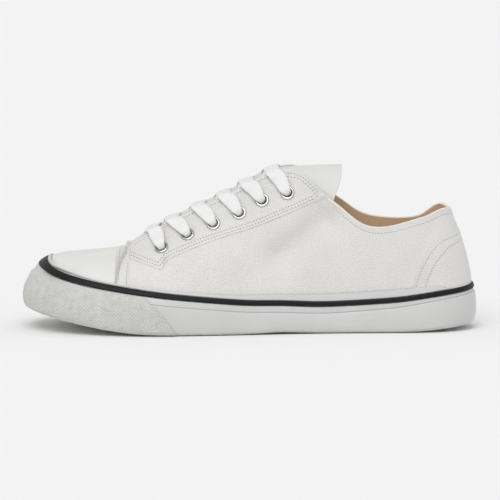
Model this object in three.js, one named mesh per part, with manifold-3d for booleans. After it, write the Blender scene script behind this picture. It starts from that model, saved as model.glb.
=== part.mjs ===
// Low canvas lace-up sneaker, a left shoe, standing empty on its rubber sole.
// Millimetres, +Z up, toe towards -X, outer (lateral) side towards -Y, ground on Z = 0.
// "along" is a share of the sole's length, from the back of the heel, 0, to the toe tip, 1.
import * as THREE from "three";
import { mergeVertices } from "three/addons/utils/BufferGeometryUtils.js";
import Module from "manifold-3d";

const wasm = await Module();
wasm.setup();

// Driving sizes of the last and the sole
const soleLength = 288;
const ballWidth = 103;
const instepHeight = 102;
const heelHeight = 77;
const vampHeight = 52;
const toeSpring = 13.5;
const heelLift = 3.6;
const archLift = 1;
const soleThickness = 9;
const stripeHeight = 24;
const stepDrop = 5.8;
const rimRise = 5.8;

// Driving sizes of the materials and the trim
const gap = 0.3;
const upperWall = 2;
const featherInset = 5.2;
const sideBulge = 2.2;
const stepDepth = 1.5;
const toeLean = 2.4;
const rimThickness = 1.5;
const stripeWidth = 3.8;
const stripeThickness = 1.2;
const stripeRecess = 0.7;
const edgeLift = 0.8;
const bumperThickness = 1.3;
const overlayThickness = 0.7;
const capThickness = 0.8;
const insoleThickness = 4;
const tongueThickness = 2.4;
const grooveDepth = 1.8;
const grooveWidth = 2.4;
const groovePitch = 10.5;
const treadBorder = 9;
const eyeletRadius = 4.4;
const eyeletHole = 2.5;
const eyeletHeight = 0.9;
const barrelWall = 0.4;
const eyeletDrop = 13;
const laceWidth = 7.2;
const laceThickness = 1.8;
const throatBow = 1.5;
const tongueRise = 2.4;
const tongueSwing = 6.5;
const laceLift = 2.4;
const laceStop = 4;
const laceBow = 6;

// Sole outline: the whole width at each section, and its middle's swing towards the inner side.
// Widths are shares of ballWidth. The round ends are added by roundEnd below.
const outlineRows = [
  { along: 0.0, width: 0.665, swing: 0.0 },
  { along: 0.14, width: 0.675, swing: 0.0 },
  { along: 0.3, width: 0.69, swing: -0.008 },
  { along: 0.4, width: 0.71, swing: -0.034 },
  { along: 0.5, width: 0.775, swing: -0.05 },
  { along: 0.6, width: 0.87, swing: -0.046 },
  { along: 0.68, width: 0.95, swing: -0.03 },
  { along: 0.76, width: 1.0, swing: -0.012 },
  { along: 0.86, width: 1.0, swing: 0.014 },
  { along: 1.0, width: 0.98, swing: 0.055 },
];

// Under side of the sole: shares of toeSpring, heelLift and archLift.
const groundRows = [
  { along: 0.0, toe: 0, heel: 1.0, arch: 0 },
  { along: 0.04, toe: 0, heel: 0.7, arch: 0 },
  { along: 0.1, toe: 0, heel: 0.32, arch: 0 },
  { along: 0.17, toe: 0, heel: 0.0, arch: 0 },
  { along: 0.34, toe: 0, heel: 0, arch: 0 },
  { along: 0.43, toe: 0, heel: 0, arch: 1 },
  { along: 0.52, toe: 0, heel: 0, arch: 0 },
  { along: 0.69, toe: 0.0, heel: 0, arch: 0 },
  { along: 0.735, toe: 0.045, heel: 0, arch: 0 },
  { along: 0.8, toe: 0.18, heel: 0, arch: 0 },
  { along: 0.87, toe: 0.42, heel: 0, arch: 0 },
  { along: 0.94, toe: 0.7, heel: 0, arch: 0 },
  { along: 1.0, toe: 1.0, heel: 0, arch: 0 },
];

// Heights of the sole's side over its under side: the feather line in shares of soleThickness,
// the middle of the dark stripe in shares of stripeHeight, the step under it in shares of
// stepDrop, the rim over it in shares of rimRise, and the inward lean in shares of toeLean.
const sideRows = [
  { along: 0.0, feather: 1.25, stripe: 1.0, step: 0.62, rim: 0.86, lean: 0 },
  { along: 0.1, feather: 1.22, stripe: 0.963, step: 0.72, rim: 0.93, lean: 0 },
  { along: 0.19, feather: 1.18, stripe: 0.87, step: 0.9, rim: 1.1, lean: 0 },
  { along: 0.37, feather: 1.08, stripe: 0.77, step: 1.0, rim: 1.0, lean: 0 },
  { along: 0.46, feather: 1.03, stripe: 0.8, step: 1.0, rim: 0.88, lean: 0 },
  { along: 0.56, feather: 1.0, stripe: 0.89, step: 1.0, rim: 0.68, lean: 0 },
  { along: 0.66, feather: 1.0, stripe: 1.0, step: 1.0, rim: 0.54, lean: 0 },
  { along: 0.75, feather: 0.98, stripe: 1.09, step: 1.0, rim: 0.5, lean: 0.05 },
  { along: 0.87, feather: 1.0, stripe: 1.11, step: 1.0, rim: 0.48, lean: 0.3 },
  { along: 0.94, feather: 1.08, stripe: 1.12, step: 1.0, rim: 0.48, lean: 0.65 },
  { along: 1.0, feather: 1.15, stripe: 1.19, step: 1.05, rim: 0.48, lean: 1.0 },
];

// Collar and throat line: half the opening's width in shares of ballWidth, and its height as
// shares of heelHeight plus shares of instepHeight.
const openingRows = [
  { along: 0.06, half: 0.0, heel: 0.985, instep: 0 },
  { along: 0.075, half: 0.13, heel: 1.005, instep: 0 },
  { along: 0.105, half: 0.225, heel: 0.965, instep: 0 },
  { along: 0.135, half: 0.268, heel: 0.928, instep: 0 },
  { along: 0.17, half: 0.295, heel: 0.89, instep: 0 },
  { along: 0.21, half: 0.308, heel: 0.868, instep: 0 },
  { along: 0.255, half: 0.306, heel: 0.6, instep: 0.218 },
  { along: 0.294, half: 0.292, heel: 0.3, instep: 0.515 },
  { along: 0.32, half: 0.275, heel: 0.1, instep: 0.738 },
  { along: 0.35, half: 0.252, heel: 0.0, instep: 0.875 },
  { along: 0.372, half: 0.238, heel: 0, instep: 0.94 },
  { along: 0.395, half: 0.22, heel: 0, instep: 0.985 },
  { along: 0.43, half: 0.195, heel: 0, instep: 0.997 },
  { along: 0.48, half: 0.175, heel: 0, instep: 0.952 },
  { along: 0.53, half: 0.165, heel: 0, instep: 0.868 },
  { along: 0.58, half: 0.157, heel: 0, instep: 0.803 },
  { along: 0.635, half: 0.148, heel: 0, instep: 0.73 },
  { along: 0.686, half: 0.14, heel: 0, instep: 0.655 },
  { along: 0.727, half: 0.13, heel: 0, instep: 0.592 },
  { along: 0.768, half: 0.115, heel: 0, instep: 0.515 },
];

// Section shape from the feather line up to the opening: how far it climbs before it turns in
// (lift, share of its height), its bulge (share of sideBulge), how far out and down it leaves
// the opening (reach and drop, shares of its run and height), and its inset at the sole.
const sectionRows = [
  { along: 0.0, lift: 0.42, bulge: 0.75, reach: 0.25, drop: 0.33, inset: 1.0 },
  { along: 0.1, lift: 0.38, bulge: 1.2, reach: 0.1, drop: 0.33, inset: 1.0 },
  { along: 0.2, lift: 0.38, bulge: 1.3, reach: 0.0, drop: 0.35, inset: 1.0 },
  { along: 0.32, lift: 0.36, bulge: 1.1, reach: 0.15, drop: 0.38, inset: 1.0 },
  { along: 0.43, lift: 0.4, bulge: 0.8, reach: 0.52, drop: 0.26, inset: 1.0 },
  { along: 0.56, lift: 0.4, bulge: 0.7, reach: 0.54, drop: 0.25, inset: 1.0 },
  { along: 0.7, lift: 0.5, bulge: 0.7, reach: 0.54, drop: 0.25, inset: 1.0 },
  { along: 0.8, lift: 0.68, bulge: 0.6, reach: 0.52, drop: 0.25, inset: 1.0 },
  { along: 0.92, lift: 0.92, bulge: 0.4, reach: 0.58, drop: 0.23, inset: 1.1 },
  { along: 1.0, lift: 1.0, bulge: 0.25, reach: 0.6, drop: 0.24, inset: 1.22 },
];

// Outer profile of the lower side wall: rise is a share of its height, inset is in
// shares of stepDepth, in from the sole outline.
const wallRows = [
  { rise: 0.0, inset: 1.5 },
  { rise: 0.1, inset: 0.55 },
  { rise: 0.28, inset: 0.05 },
  { rise: 0.6, inset: 0.0 },
  { rise: 0.9, inset: 0.3 },
  { rise: 1.0, inset: 0.62 },
];

// Eyelets, front to back: below is the drop under the throat line in shares of eyeletDrop.
const eyeletRows = [
  { along: 0.6945, below: 0.93 },
  { along: 0.638, below: 0.95 },
  { along: 0.5815, below: 1.02 },
  { along: 0.5245, below: 1.1 },
  { along: 0.475, below: 1.12 },
  { along: 0.42, below: 1.06 },
];

// Tongue stations under the throat, front to back, and towards its free end: the crest's height
// over the opening line in shares of tongueThickness, or its climb from there to tongueRise
// over the instep.
const tongueRows = [
  { along: 0.752, crest: 0.0, climb: 0, reach: 0.35 },
  { along: 0.72, crest: 0.0, climb: 0, reach: 1.0 },
  { along: 0.67, crest: 0.0, climb: 0, reach: 1.6 },
  { along: 0.61, crest: 0.0, climb: 0, reach: 1.7 },
  { along: 0.55, crest: 0.0, climb: 0, reach: 1.7 },
  { along: 0.49, crest: 0.1, climb: 0, reach: 1.7 },
  { along: 0.44, crest: 0.2, climb: 0, reach: 1.6 },
  { along: 0.405, crest: 0, climb: 0.35, reach: 1.5 },
  { along: 0.375, crest: 0, climb: 0.7, reach: 1.2 },
  { along: 0.345, crest: 0, climb: 0.9, reach: 0.9 },
  { along: 0.32, crest: 0, climb: 1.0, reach: 0.6 },
  { along: 0.3, crest: 0, climb: 1.0, reach: 0.35 },
];

// Side-view outlines of the overlays: along the sole, and height in shares of instepHeight.
const eyestayRows = [
  { along: 0.772, height: 0.465 },
  { along: 0.73, height: 0.428 },
  { along: 0.696, height: 0.402 },
  { along: 0.678, height: 0.463 },
  { along: 0.586, height: 0.57 },
  { along: 0.496, height: 0.652 },
  { along: 0.373, height: 0.797 },
  { along: 0.31, height: 0.87 },
];
const counterRows = [
  { along: 0.147, height: 0.2 },
  { along: 0.146, height: 0.3 },
  { along: 0.134, height: 0.378 },
  { along: 0.122, height: 0.44 },
  { along: 0.105, height: 0.525 },
  { along: 0.083, height: 0.588 },
  { along: 0.052, height: 0.618 },
  { along: -0.02, height: 0.628 },
];
const bumperRows = [
  { along: 0.655, height: -0.02 },
  { along: 0.668, height: 0.035 },
  { along: 0.685, height: 0.1 },
  { along: 0.706, height: 0.17 },
  { along: 0.732, height: 0.24 },
  { along: 0.75, height: 0.3 },
];
const capEdge = 0.795;

// Where the tread has grooves: under the heel, and under the ball and toes.
const treadPatches = [
  { from: 0.09, to: 0.28 },
  { from: 0.6, to: 0.93 },
];

// The tongue's front end under the vamp, where it comes free of the throat, and its free end
const tongueFront = [0.805, 0.775];
const tongueFree = 0.44;
const tongueEnd = 0.3;
const tongueTuck = 0.85;
const archPull = 0.55;
const archShares = [0.28, 0.52, 0.76];

// Laces: how far up the eyestay they are lifted off, how far forward a crossing has moved by
// the throat's edge, and where it ends, in shares of the eyelets' pitch.
const laceLiftOff = 0.6;
const crossSlant = 0.24;
const crossEnd = 0.7;

// Column counts round the shoe, and the two stations where its ends turn round
const toeColumns = 7;
const sideColumns = 15;
const heelColumns = 5;
const lastColumn = toeColumns + sideColumns + heelColumns;
const toeTurn = 0.768;
const heelTurn = 0.135;
const endRoundness = 2.2;
const eyeletSides = 8;
const laceSteps = 6;
const wallRises = [0, 0.1, 0.35, 0.7, 1];
const rowsAboveRim = 5;
const lateral = -1;
const medial = 1;

// Steps of the searches along a curve, and of the slopes taken on it
const halvings = 30;
const nudge = 0.02;

const mix = (a, b, share) => a + (b - a) * share;

// A smooth curve without overshoot through one column of a table.
function curveOver(rows, column, key = "along") {
  const x = rows.map((row) => row[key]);
  const y = rows.map((row) => row[column]);
  const last = x.length - 1;
  const chord = x.slice(1).map((value, i) => (y[i + 1] - y[i]) / (value - x[i]));
  const slope = x.map((_, i) => {
    if (i === 0) return chord[0];
    if (i === last) return chord[last - 1];
    const product = chord[i - 1] * chord[i];
    return product <= 0 ? 0 : (2 * product) / (chord[i - 1] + chord[i]);
  });
  return (at) => {
    const value = Math.min(Math.max(at, x[0]), x[last]);
    let i = 0;
    while (i < last - 1 && value > x[i + 1]) i += 1;
    const span = x[i + 1] - x[i];
    const u = (value - x[i]) / span;
    const start = y[i] * (1 + 2 * u) * (1 - u) ** 2 + slope[i] * span * u * (1 - u) ** 2;
    return start + y[i + 1] * u * u * (3 - 2 * u) + slope[i + 1] * span * u * u * (u - 1);
  };
}

// All the columns of a table as curves, by name.
function curvesOf(rows) {
  const names = Object.keys(rows[0]).filter((name) => name !== "along");
  return Object.fromEntries(names.map((name) => [name, curveOver(rows, name)]));
}

const outline = curvesOf(outlineRows);
const ground = curvesOf(groundRows);
const side = curvesOf(sideRows);
const opening = curvesOf(openingRows);
const section = curvesOf(sectionRows);

const heightOf = {
  ground: (along) =>
    toeSpring * ground.toe(along) + heelLift * ground.heel(along) + archLift * ground.arch(along),
  feather: (along) => heightOf.ground(along) + soleThickness * side.feather(along),
  stripe: (along) => heightOf.ground(along) + stripeHeight * side.stripe(along),
  step: (along) => heightOf.stripe(along) - stepDrop * side.step(along),
  rim: (along) => heightOf.stripe(along) + rimRise * side.rim(along),
  opening: (along) => heelHeight * opening.heel(along) + instepHeight * opening.instep(along),
};

// Where a column stands: its station along the sole, and how much its end has narrowed.
// Columns run from the toe tip, 0, along one side to the back of the heel, lastColumn.
function stationOf(column) {
  const heelStart = toeColumns + sideColumns;
  if (column < toeColumns) {
    const angle = (1 - column / toeColumns) * (Math.PI / 2);
    const out = Math.sin(angle) ** (2 / endRoundness);
    return { along: mix(toeTurn, 1, out), out, narrow: roundEnd(angle) };
  }
  if (column <= heelStart) {
    return { along: mix(toeTurn, heelTurn, (column - toeColumns) / sideColumns), out: 0, narrow: 1 };
  }
  const angle = ((column - heelStart) / heelColumns) * (Math.PI / 2);
  const out = Math.sin(angle) ** (2 / endRoundness);
  return { along: mix(heelTurn, 0, out), out, narrow: roundEnd(angle) };
}

function roundEnd(angle) {
  return Math.max(Math.cos(angle), 0) ** (2 / endRoundness);
}

// Past either end, a column is the same one on the other side.
function folded(sideSign, column) {
  if (column < 0) return [-sideSign, -column];
  if (column > lastColumn) return [-sideSign, 2 * lastColumn - column];
  return [sideSign, column];
}

function outlinePoint(sideSign, column) {
  const [sign, at] = folded(sideSign, column);
  const { along, narrow } = stationOf(at);
  const half = (ballWidth * outline.width(along) * narrow) / 2;
  const y = ballWidth * outline.swing(along) + sign * half;
  return new THREE.Vector3(-soleLength * along, y, 0);
}

// The outward direction of the outline, in plan.
function outlineNormal(sideSign, column) {
  const ahead = outlinePoint(sideSign, column + nudge);
  const back = outlinePoint(sideSign, column - nudge);
  const tangent = ahead.sub(back).normalize();
  return new THREE.Vector3(tangent.y, -tangent.x, 0).multiplyScalar(-sideSign);
}

// A point of the sole outline moved in by inset and lifted to a height.
function insetPoint(sideSign, column, inset, height) {
  const point = outlinePoint(sideSign, column);
  point.addScaledVector(outlineNormal(sideSign, column), -inset);
  point.z = height;
  return point;
}

const featherDepth = (along) => featherInset * section.inset(along);

function featherPoint(sideSign, column) {
  const [sign, at] = folded(sideSign, column);
  const { along } = stationOf(at);
  return insetPoint(sign, at, featherDepth(along), heightOf.feather(along));
}

// A point of the upper's open edge: across the front of the throat, up its side, round the collar.
function openingPoint(sideSign, column) {
  const [sign, at] = folded(sideSign, column);
  const { along, out, narrow } = stationOf(at);
  const heelStart = toeColumns + sideColumns;
  if (at < toeColumns) {
    const angle = (at / toeColumns) * (Math.PI / 2);
    const half = ballWidth * opening.half(toeTurn) * Math.sin(angle);
    const bow = throatBow * Math.cos(angle);
    const height = mix(heightOf.opening(toeTurn), vampHeight, Math.cos(angle));
    return new THREE.Vector3(-soleLength * toeTurn - bow, sign * half, height);
  }
  if (at <= heelStart) {
    const half = ballWidth * opening.half(along);
    return new THREE.Vector3(-soleLength * along, sign * half, heightOf.opening(along));
  }
  const backAlong = mix(heelTurn, openingRows[0].along, out);
  const half = ballWidth * opening.half(heelTurn) * narrow;
  return new THREE.Vector3(-soleLength * backAlong, sign * half, heightOf.opening(backAlong));
}

// The upper's outer section at a column: a curve from the feather line, 0, to the opening, 1.
function upperCurve(sideSign, column, share) {
  const [sign, at] = folded(sideSign, column);
  const { along } = stationOf(at);
  const start = featherPoint(sign, at);
  const end = openingPoint(sign, at);
  const climb = end.z - start.z;
  const run = new THREE.Vector3(start.x - end.x, start.y - end.y, 0);
  const lower = start.clone().addScaledVector(outlineNormal(sign, at), sideBulge * section.bulge(along));
  lower.z += climb * section.lift(along);
  const upper = end.clone().addScaledVector(run, section.reach(along));
  upper.addScaledVector(outlineNormal(sign, at), sideBulge * section.bulge(along) * 0.5);
  upper.z -= climb * section.drop(along);
  return new THREE.CubicBezierCurve3(start, lower, upper, end).getPoint(share);
}

// A point of the upper's outer surface, moved out along the surface's normal.
function upperPoint(sideSign, column, share, offset = 0) {
  const point = upperCurve(sideSign, column, share);
  if (offset === 0) return point;
  return point.addScaledVector(upperNormal(sideSign, column, share), offset);
}

function upperNormal(sideSign, column, share) {
  const low = Math.max(share - nudge, 0);
  const high = Math.min(share + nudge, 1);
  const up = upperCurve(sideSign, column, high).sub(upperCurve(sideSign, column, low));
  const round = upperCurve(sideSign, column + nudge, share);
  round.sub(upperCurve(sideSign, column - nudge, share));
  const normal = up.cross(round).normalize();
  const outward = outlineNormal(...folded(sideSign, column));
  outward.z = 1;
  return normal.dot(outward) < 0 ? normal.negate() : normal;
}

// The share of a section's curve at which it reaches a height.
function shareAt(sideSign, column, height) {
  let low = 0;
  let high = 1;
  for (let i = 0; i < halvings; i += 1) {
    const middle = (low + high) / 2;
    if (upperCurve(sideSign, column, middle).z < height) low = middle;
    else high = middle;
  }
  return low;
}

// Rows of the upper's grid: feather line, step, half way, rim of the side wall, then even rows.
function upperShares(sideSign, column) {
  const { along } = stationOf(column);
  const step = shareAt(sideSign, column, heightOf.step(along));
  const rim = shareAt(sideSign, column, heightOf.rim(along));
  const shares = [0, step, (step + rim) / 2, rim];
  for (let row = 1; row <= rowsAboveRim; row += 1) shares.push(mix(rim, 1, row / rowsAboveRim));
  return shares;
}

// Every column once round the shoe: down the lateral side, back up the medial side.
function allColumns() {
  const columns = [];
  for (let column = 0; column <= lastColumn; column += 1) columns.push([lateral, column]);
  for (let column = lastColumn - 1; column > 0; column -= 1) columns.push([medial, column]);
  return columns;
}

// Meshes from sections

function geometryOf(points, faces) {
  const positions = new Float32Array(points.flatMap((point) => [point.x, point.y, point.z]));
  const geometry = new THREE.BufferGeometry();
  geometry.setAttribute("position", new THREE.BufferAttribute(positions, 3));
  geometry.setIndex(faces.flat());
  return facingOut(mergeVertices(geometry, 1e-4));
}

// Drops faces that collapsed, and turns the faces round when they point inwards.
function facingOut(geometry) {
  const position = geometry.getAttribute("position");
  const index = geometry.index.array;
  const kept = [];
  const [a, b, c] = [new THREE.Vector3(), new THREE.Vector3(), new THREE.Vector3()];
  let volume = 0;
  for (let i = 0; i < index.length; i += 3) {
    const [i0, i1, i2] = [index[i], index[i + 1], index[i + 2]];
    if (i0 === i1 || i1 === i2 || i0 === i2) continue;
    kept.push([i0, i1, i2]);
    a.fromBufferAttribute(position, i0);
    b.fromBufferAttribute(position, i1);
    c.fromBufferAttribute(position, i2);
    volume += a.dot(b.cross(c));
  }
  geometry.setIndex(kept.flatMap(([i0, i1, i2]) => (volume < 0 ? [i0, i2, i1] : [i0, i1, i2])));
  return geometry;
}

// Faces between one section of a list and the next, each four-sided patch split along its
// shorter diagonal, so that layers over one another are split alike.
function strip(points, count, from, to) {
  const faces = [];
  for (let j = 0; j < count; j += 1) {
    const k = (j + 1) % count;
    const [a, b, c, d] = [from * count + j, to * count + j, to * count + k, from * count + k];
    if (points[a].distanceTo(points[c]) < points[b].distanceTo(points[d])) faces.push([a, b, c], [a, c, d]);
    else faces.push([a, b, d], [b, c, d]);
  }
  return faces;
}

// A closed ring: each section is a closed loop of points, all with the same count.
function ringOf(sections) {
  const points = sections.flat();
  const count = sections[0].length;
  const faces = sections.flatMap((_, i) => strip(points, count, i, (i + 1) % sections.length));
  return geometryOf(points, faces);
}

// A bar: sections joined in a row. Its ends are closed between opposite points of the section,
// so that the end of a thin, curved section doesn't fold over itself.
function barOf(sections) {
  const points = sections.flat();
  const count = sections[0].length;
  const faces = sections.slice(1).flatMap((_, i) => strip(points, count, i, i + 1));
  const end = (sections.length - 1) * count;
  for (let j = 0; j < count / 2 - 1; j += 1) {
    const [a, b, c, d] = [j, j + 1, count - 2 - j, count - 1 - j];
    faces.push([a, b, c], [a, c, d], [end + a, end + c, end + b], [end + a, end + d, end + c]);
  }
  return geometryOf(points, faces);
}

// Solids for cutting and joining

function solidOf(geometry) {
  const bare = geometry.index ? geometry.clone() : geometry;
  bare.deleteAttribute("normal");
  bare.deleteAttribute("uv");
  const merged = mergeVertices(bare, 1e-4);
  return new wasm.Manifold(
    new wasm.Mesh({
      numProp: 3,
      vertProperties: merged.getAttribute("position").array,
      triVerts: new Uint32Array(merged.index.array),
    }),
  );
}

function geometryFrom(solid) {
  const { vertProperties, triVerts } = solid.getMesh();
  const geometry = new THREE.BufferGeometry();
  geometry.setAttribute("position", new THREE.BufferAttribute(vertProperties, 3));
  geometry.setIndex(new THREE.BufferAttribute(triVerts, 1));
  return geometry;
}

// A side-view outline of [distance from the back of the heel, height] pairs, cut through
// the shoe's width from one y to another.
function sideCutter(corners, fromY, toY) {
  const shape = new THREE.Shape(corners.map(([length, height]) => new THREE.Vector2(-length, height)));
  const cutter = new THREE.ExtrudeGeometry(shape, { depth: toY - fromY, bevelEnabled: false });
  cutter.rotateX(Math.PI / 2);
  cutter.translate(0, toY, 0);
  return solidOf(cutter);
}

// The sole's upper band, outside: from the step, 0, to the rim, 1, moved out by offset.
function bandPoint(sign, column, share, offset = 0) {
  const { along } = stationOf(column);
  const inset = stepDepth + toeLean * side.lean(along);
  const step = insetPoint(sign, column, inset, heightOf.step(along) + gap / 2);
  const rimShare = shareAt(sign, column, heightOf.rim(along));
  const rim = upperPoint(sign, column, rimShare, gap + rimThickness);
  const roundOut = rimThickness * share * (1 - share);
  return step.lerp(rim, share).addScaledVector(outlineNormal(sign, column), roundOut + offset);
}

// Shares of the upper band's height at the stripe's lower and upper edges.
function stripeShares(column, margin = 0) {
  const { along } = stationOf(column);
  const step = heightOf.step(along);
  const tall = heightOf.rim(along) - step;
  const middle = heightOf.stripe(along) - step;
  const half = stripeWidth / 2 - margin;
  return [(middle - half) / tall, (middle + half) / tall];
}

// The lower side wall, outside: from its bottom edge, 0, to the step, 1.
const wallInset = curveOver(wallRows, "inset", "rise");
function wallPoint(sign, column, rise, offset = 0) {
  const { along } = stationOf(column);
  const bottom = heightOf.ground(along) + edgeLift;
  const inset = stepDepth * wallInset(rise) + toeLean * side.lean(along) * rise * rise;
  return insetPoint(sign, column, inset - offset, mix(bottom, heightOf.step(along) - gap / 2, rise));
}

// The upper, one hollow wall, and the layers that lie on it

function upperSolid() {
  const sections = allColumns().map(([sign, column]) => {
    const shares = upperShares(sign, column);
    const outside = shares.map((share) => upperPoint(sign, column, share));
    const inside = shares.map((share) => upperPoint(sign, column, share, -upperWall));
    return [...outside, ...inside.reverse()];
  });
  return solidOf(ringOf(sections));
}

// A shell over the upper above the rim, between two distances from its surface.
function overlayShell(thickness) {
  const sections = allColumns().map(([sign, column]) => {
    const { along } = stationOf(column);
    const shares = upperShares(sign, column).slice(3);
    shares[0] = shareAt(sign, column, heightOf.rim(along) + 2 * gap);
    const inside = shares.map((share) => upperPoint(sign, column, share, gap));
    const outside = shares.map((share) => upperPoint(sign, column, share, gap + thickness));
    return [...outside, ...inside.reverse()];
  });
  return solidOf(ringOf(sections));
}

// Side-view corners in millimetres, and how far the cutters reach past the shoe
const cornersOf = (rows) => rows.map(({ along, height }) => [along * soleLength, height * instepHeight]);
const farFront = 1.2 * soleLength;
const farUp = 2 * instepHeight;
const farSide = ballWidth;

function toeCapSolid() {
  const edge = capEdge * soleLength;
  const corners = [[edge, 0], [farFront, 0], [farFront, farUp], [edge, farUp]];
  return overlayShell(capThickness).intersect(sideCutter(corners, -farSide, farSide));
}

function eyestaySolid(sign) {
  const rows = cornersOf(eyestayRows);
  const corners = [...rows, [rows.at(-1)[0], farUp], [rows[0][0], farUp]];
  const from = sign === lateral ? -farSide : eyeletHole;
  const to = sign === lateral ? -eyeletHole : farSide;
  const band = overlayShell(overlayThickness).intersect(sideCutter(corners, from, to));
  return eyeletRows.reduce((cut, row) => cut.subtract(eyeletBore(sign, row)), band);
}

function counterSolid() {
  const rows = cornersOf(counterRows);
  const corners = [...rows, [rows.at(-1)[0], 0], [rows[0][0], 0]];
  return overlayShell(overlayThickness).intersect(sideCutter(corners, -farSide, farSide));
}

// Eyelets

function columnAt(along) {
  return toeColumns + ((toeTurn - along) / (toeTurn - heelTurn)) * sideColumns;
}

function eyeletSeat(sign, row) {
  const column = columnAt(row.along);
  const height = heightOf.opening(row.along) - eyeletDrop * row.below;
  const share = shareAt(sign, column, height);
  return { column, share, normal: upperNormal(sign, column, share) };
}

function eyeletBore(sign, row) {
  const { column, share, normal } = eyeletSeat(sign, row);
  const radius = eyeletHole + barrelWall + gap;
  const bore = new THREE.CylinderGeometry(radius, radius, 5 * upperWall, eyeletSides);
  bore.applyQuaternion(new THREE.Quaternion().setFromUnitVectors(THREE.Object3D.DEFAULT_UP, normal));
  bore.translate(...upperPoint(sign, column, share).toArray());
  return solidOf(bore);
}

const eyeletBase = 2 * gap + overlayThickness;

function eyeletGeometry() {
  const outer = eyeletHole + barrelWall;
  const bottom = 2 * gap - upperWall;
  const top = eyeletBase + eyeletHeight;
  const profile = [
    [eyeletHole, bottom],
    [outer, bottom],
    [outer, eyeletBase],
    [eyeletRadius, eyeletBase],
    [eyeletRadius - barrelWall, top],
    [eyeletHole, top - barrelWall],
    [eyeletHole, bottom],
  ];
  return new THREE.LatheGeometry(profile.map(([x, y]) => new THREE.Vector2(x, y)), eyeletSides);
}

// The rubber: outsole, side wall, upper band, stripe and toe bumper

// A slab between two heights, inside the sole outline by an inset.
function slabOf(insetAt, bottomAt, topAt) {
  const sections = [];
  for (let column = 0; column <= lastColumn; column += 1) {
    const { along } = stationOf(column);
    const corner = (sign, heightAt) => insetPoint(sign, column, insetAt(along), heightAt(along));
    sections.push([
      corner(lateral, bottomAt),
      corner(medial, bottomAt),
      corner(medial, topAt),
      corner(lateral, topAt),
    ]);
  }
  return barOf(sections);
}

// One zigzag tread groove across the under side at a station.
function treadGroove(along) {
  const half = (ballWidth * outline.width(along)) / 2 - featherInset - treadBorder;
  const middle = ballWidth * outline.swing(along);
  const bends = [-1, -0.5, 0, 0.5, 1];
  const edge = (shift) =>
    bends.map((bend, i) => {
      const zigzag = i % 2 ? grooveWidth : 0;
      return new THREE.Vector2(-soleLength * along + zigzag + shift, middle + bend * half);
    });
  const shape = new THREE.Shape([...edge(grooveWidth), ...edge(0).reverse()]);
  const cutter = new THREE.ExtrudeGeometry(shape, { depth: 2 * grooveDepth, bevelEnabled: false });
  cutter.translate(0, 0, heightOf.ground(along) - grooveDepth);
  return solidOf(cutter);
}

// The stations of the grooves, under the heel and under the ball and toes.
function grooveStations() {
  const pitch = groovePitch / soleLength;
  const stations = [];
  treadPatches.forEach(({ from, to }) => {
    for (let along = from; along < to; along += pitch) stations.push(along);
  });
  return stations;
}

function outsoleSolid() {
  const slab = slabOf(featherDepth, heightOf.ground, (along) => heightOf.feather(along) - gap);
  return grooveStations().reduce((cut, along) => cut.subtract(treadGroove(along)), solidOf(slab));
}

function insoleGeometry() {
  const inset = (along) => featherDepth(along) + upperWall + 4 * gap;
  return slabOf(inset, heightOf.feather, (along) => heightOf.feather(along) + insoleThickness);
}

function sidewallGeometry() {
  const sections = allColumns().map(([sign, column]) => {
    const { along } = stationOf(column);
    const normal = outlineNormal(sign, column);
    const foot = featherPoint(sign, column).addScaledVector(normal, gap);
    const bottom = foot.clone().setZ(heightOf.ground(along) + edgeLift);
    const top = upperPoint(sign, column, shareAt(sign, column, heightOf.step(along)), gap);
    top.z = heightOf.step(along) - gap / 2;
    return [...wallRises.map((rise) => wallPoint(sign, column, rise)), top, foot, bottom];
  });
  return ringOf(sections);
}

function bandGeometry() {
  const sections = allColumns().map(([sign, column]) => {
    const { along } = stationOf(column);
    const inside = upperShares(sign, column).slice(1, 4);
    const inner = inside.map((share) => upperPoint(sign, column, share, gap));
    inner[0].z = heightOf.step(along) + gap / 2;
    const [low, high] = stripeShares(column);
    return [
      ...inner,
      bandPoint(sign, column, 1),
      bandPoint(sign, column, high),
      bandPoint(sign, column, high, -stripeRecess),
      bandPoint(sign, column, low, -stripeRecess),
      bandPoint(sign, column, low),
      bandPoint(sign, column, 0),
    ];
  });
  return ringOf(sections);
}

function stripeGeometry() {
  const sections = allColumns().map(([sign, column]) => {
    const [low, high] = stripeShares(column, gap);
    const bevel = ((high - low) * stripeRecess) / stripeWidth;
    const inner = gap - stripeRecess;
    const outer = inner + stripeThickness;
    const shoulder = mix(inner, outer, 0.6);
    return [
      bandPoint(sign, column, low, inner),
      bandPoint(sign, column, low, shoulder),
      bandPoint(sign, column, low + bevel, outer),
      bandPoint(sign, column, high - bevel, outer),
      bandPoint(sign, column, high, shoulder),
      bandPoint(sign, column, high, inner),
    ];
  });
  return ringOf(sections);
}

function bumperSolid() {
  const sections = allColumns().map(([sign, column]) => {
    const [low] = stripeShares(column, -gap);
    const layer = (offset) => [
      ...wallRises.map((rise) => wallPoint(sign, column, rise, offset)),
      bandPoint(sign, column, low / 2, offset),
      bandPoint(sign, column, low, offset),
    ];
    return [...layer(gap + bumperThickness), ...layer(gap).reverse()];
  });
  const rows = cornersOf(bumperRows);
  const [back, front] = [rows[0][1], rows.at(-1)[1]];
  const corners = [...rows, [rows.at(-1)[0], farUp], [farFront, farUp + front], [farFront, back]];
  return solidOf(ringOf(sections)).intersect(sideCutter(corners, -farSide, farSide));
}

// The tongue

const underThroat = -(upperWall + 2 * gap);

// A point under the vamp's middle line, at a distance from the back of the heel.
function underVamp(length) {
  let low = 0;
  let high = 1;
  for (let i = 0; i < halvings; i += 1) {
    const middle = (low + high) / 2;
    if (upperCurve(lateral, 0, middle).x < -length) low = middle;
    else high = middle;
  }
  return upperPoint(lateral, 0, low, underThroat - gap);
}

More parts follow.
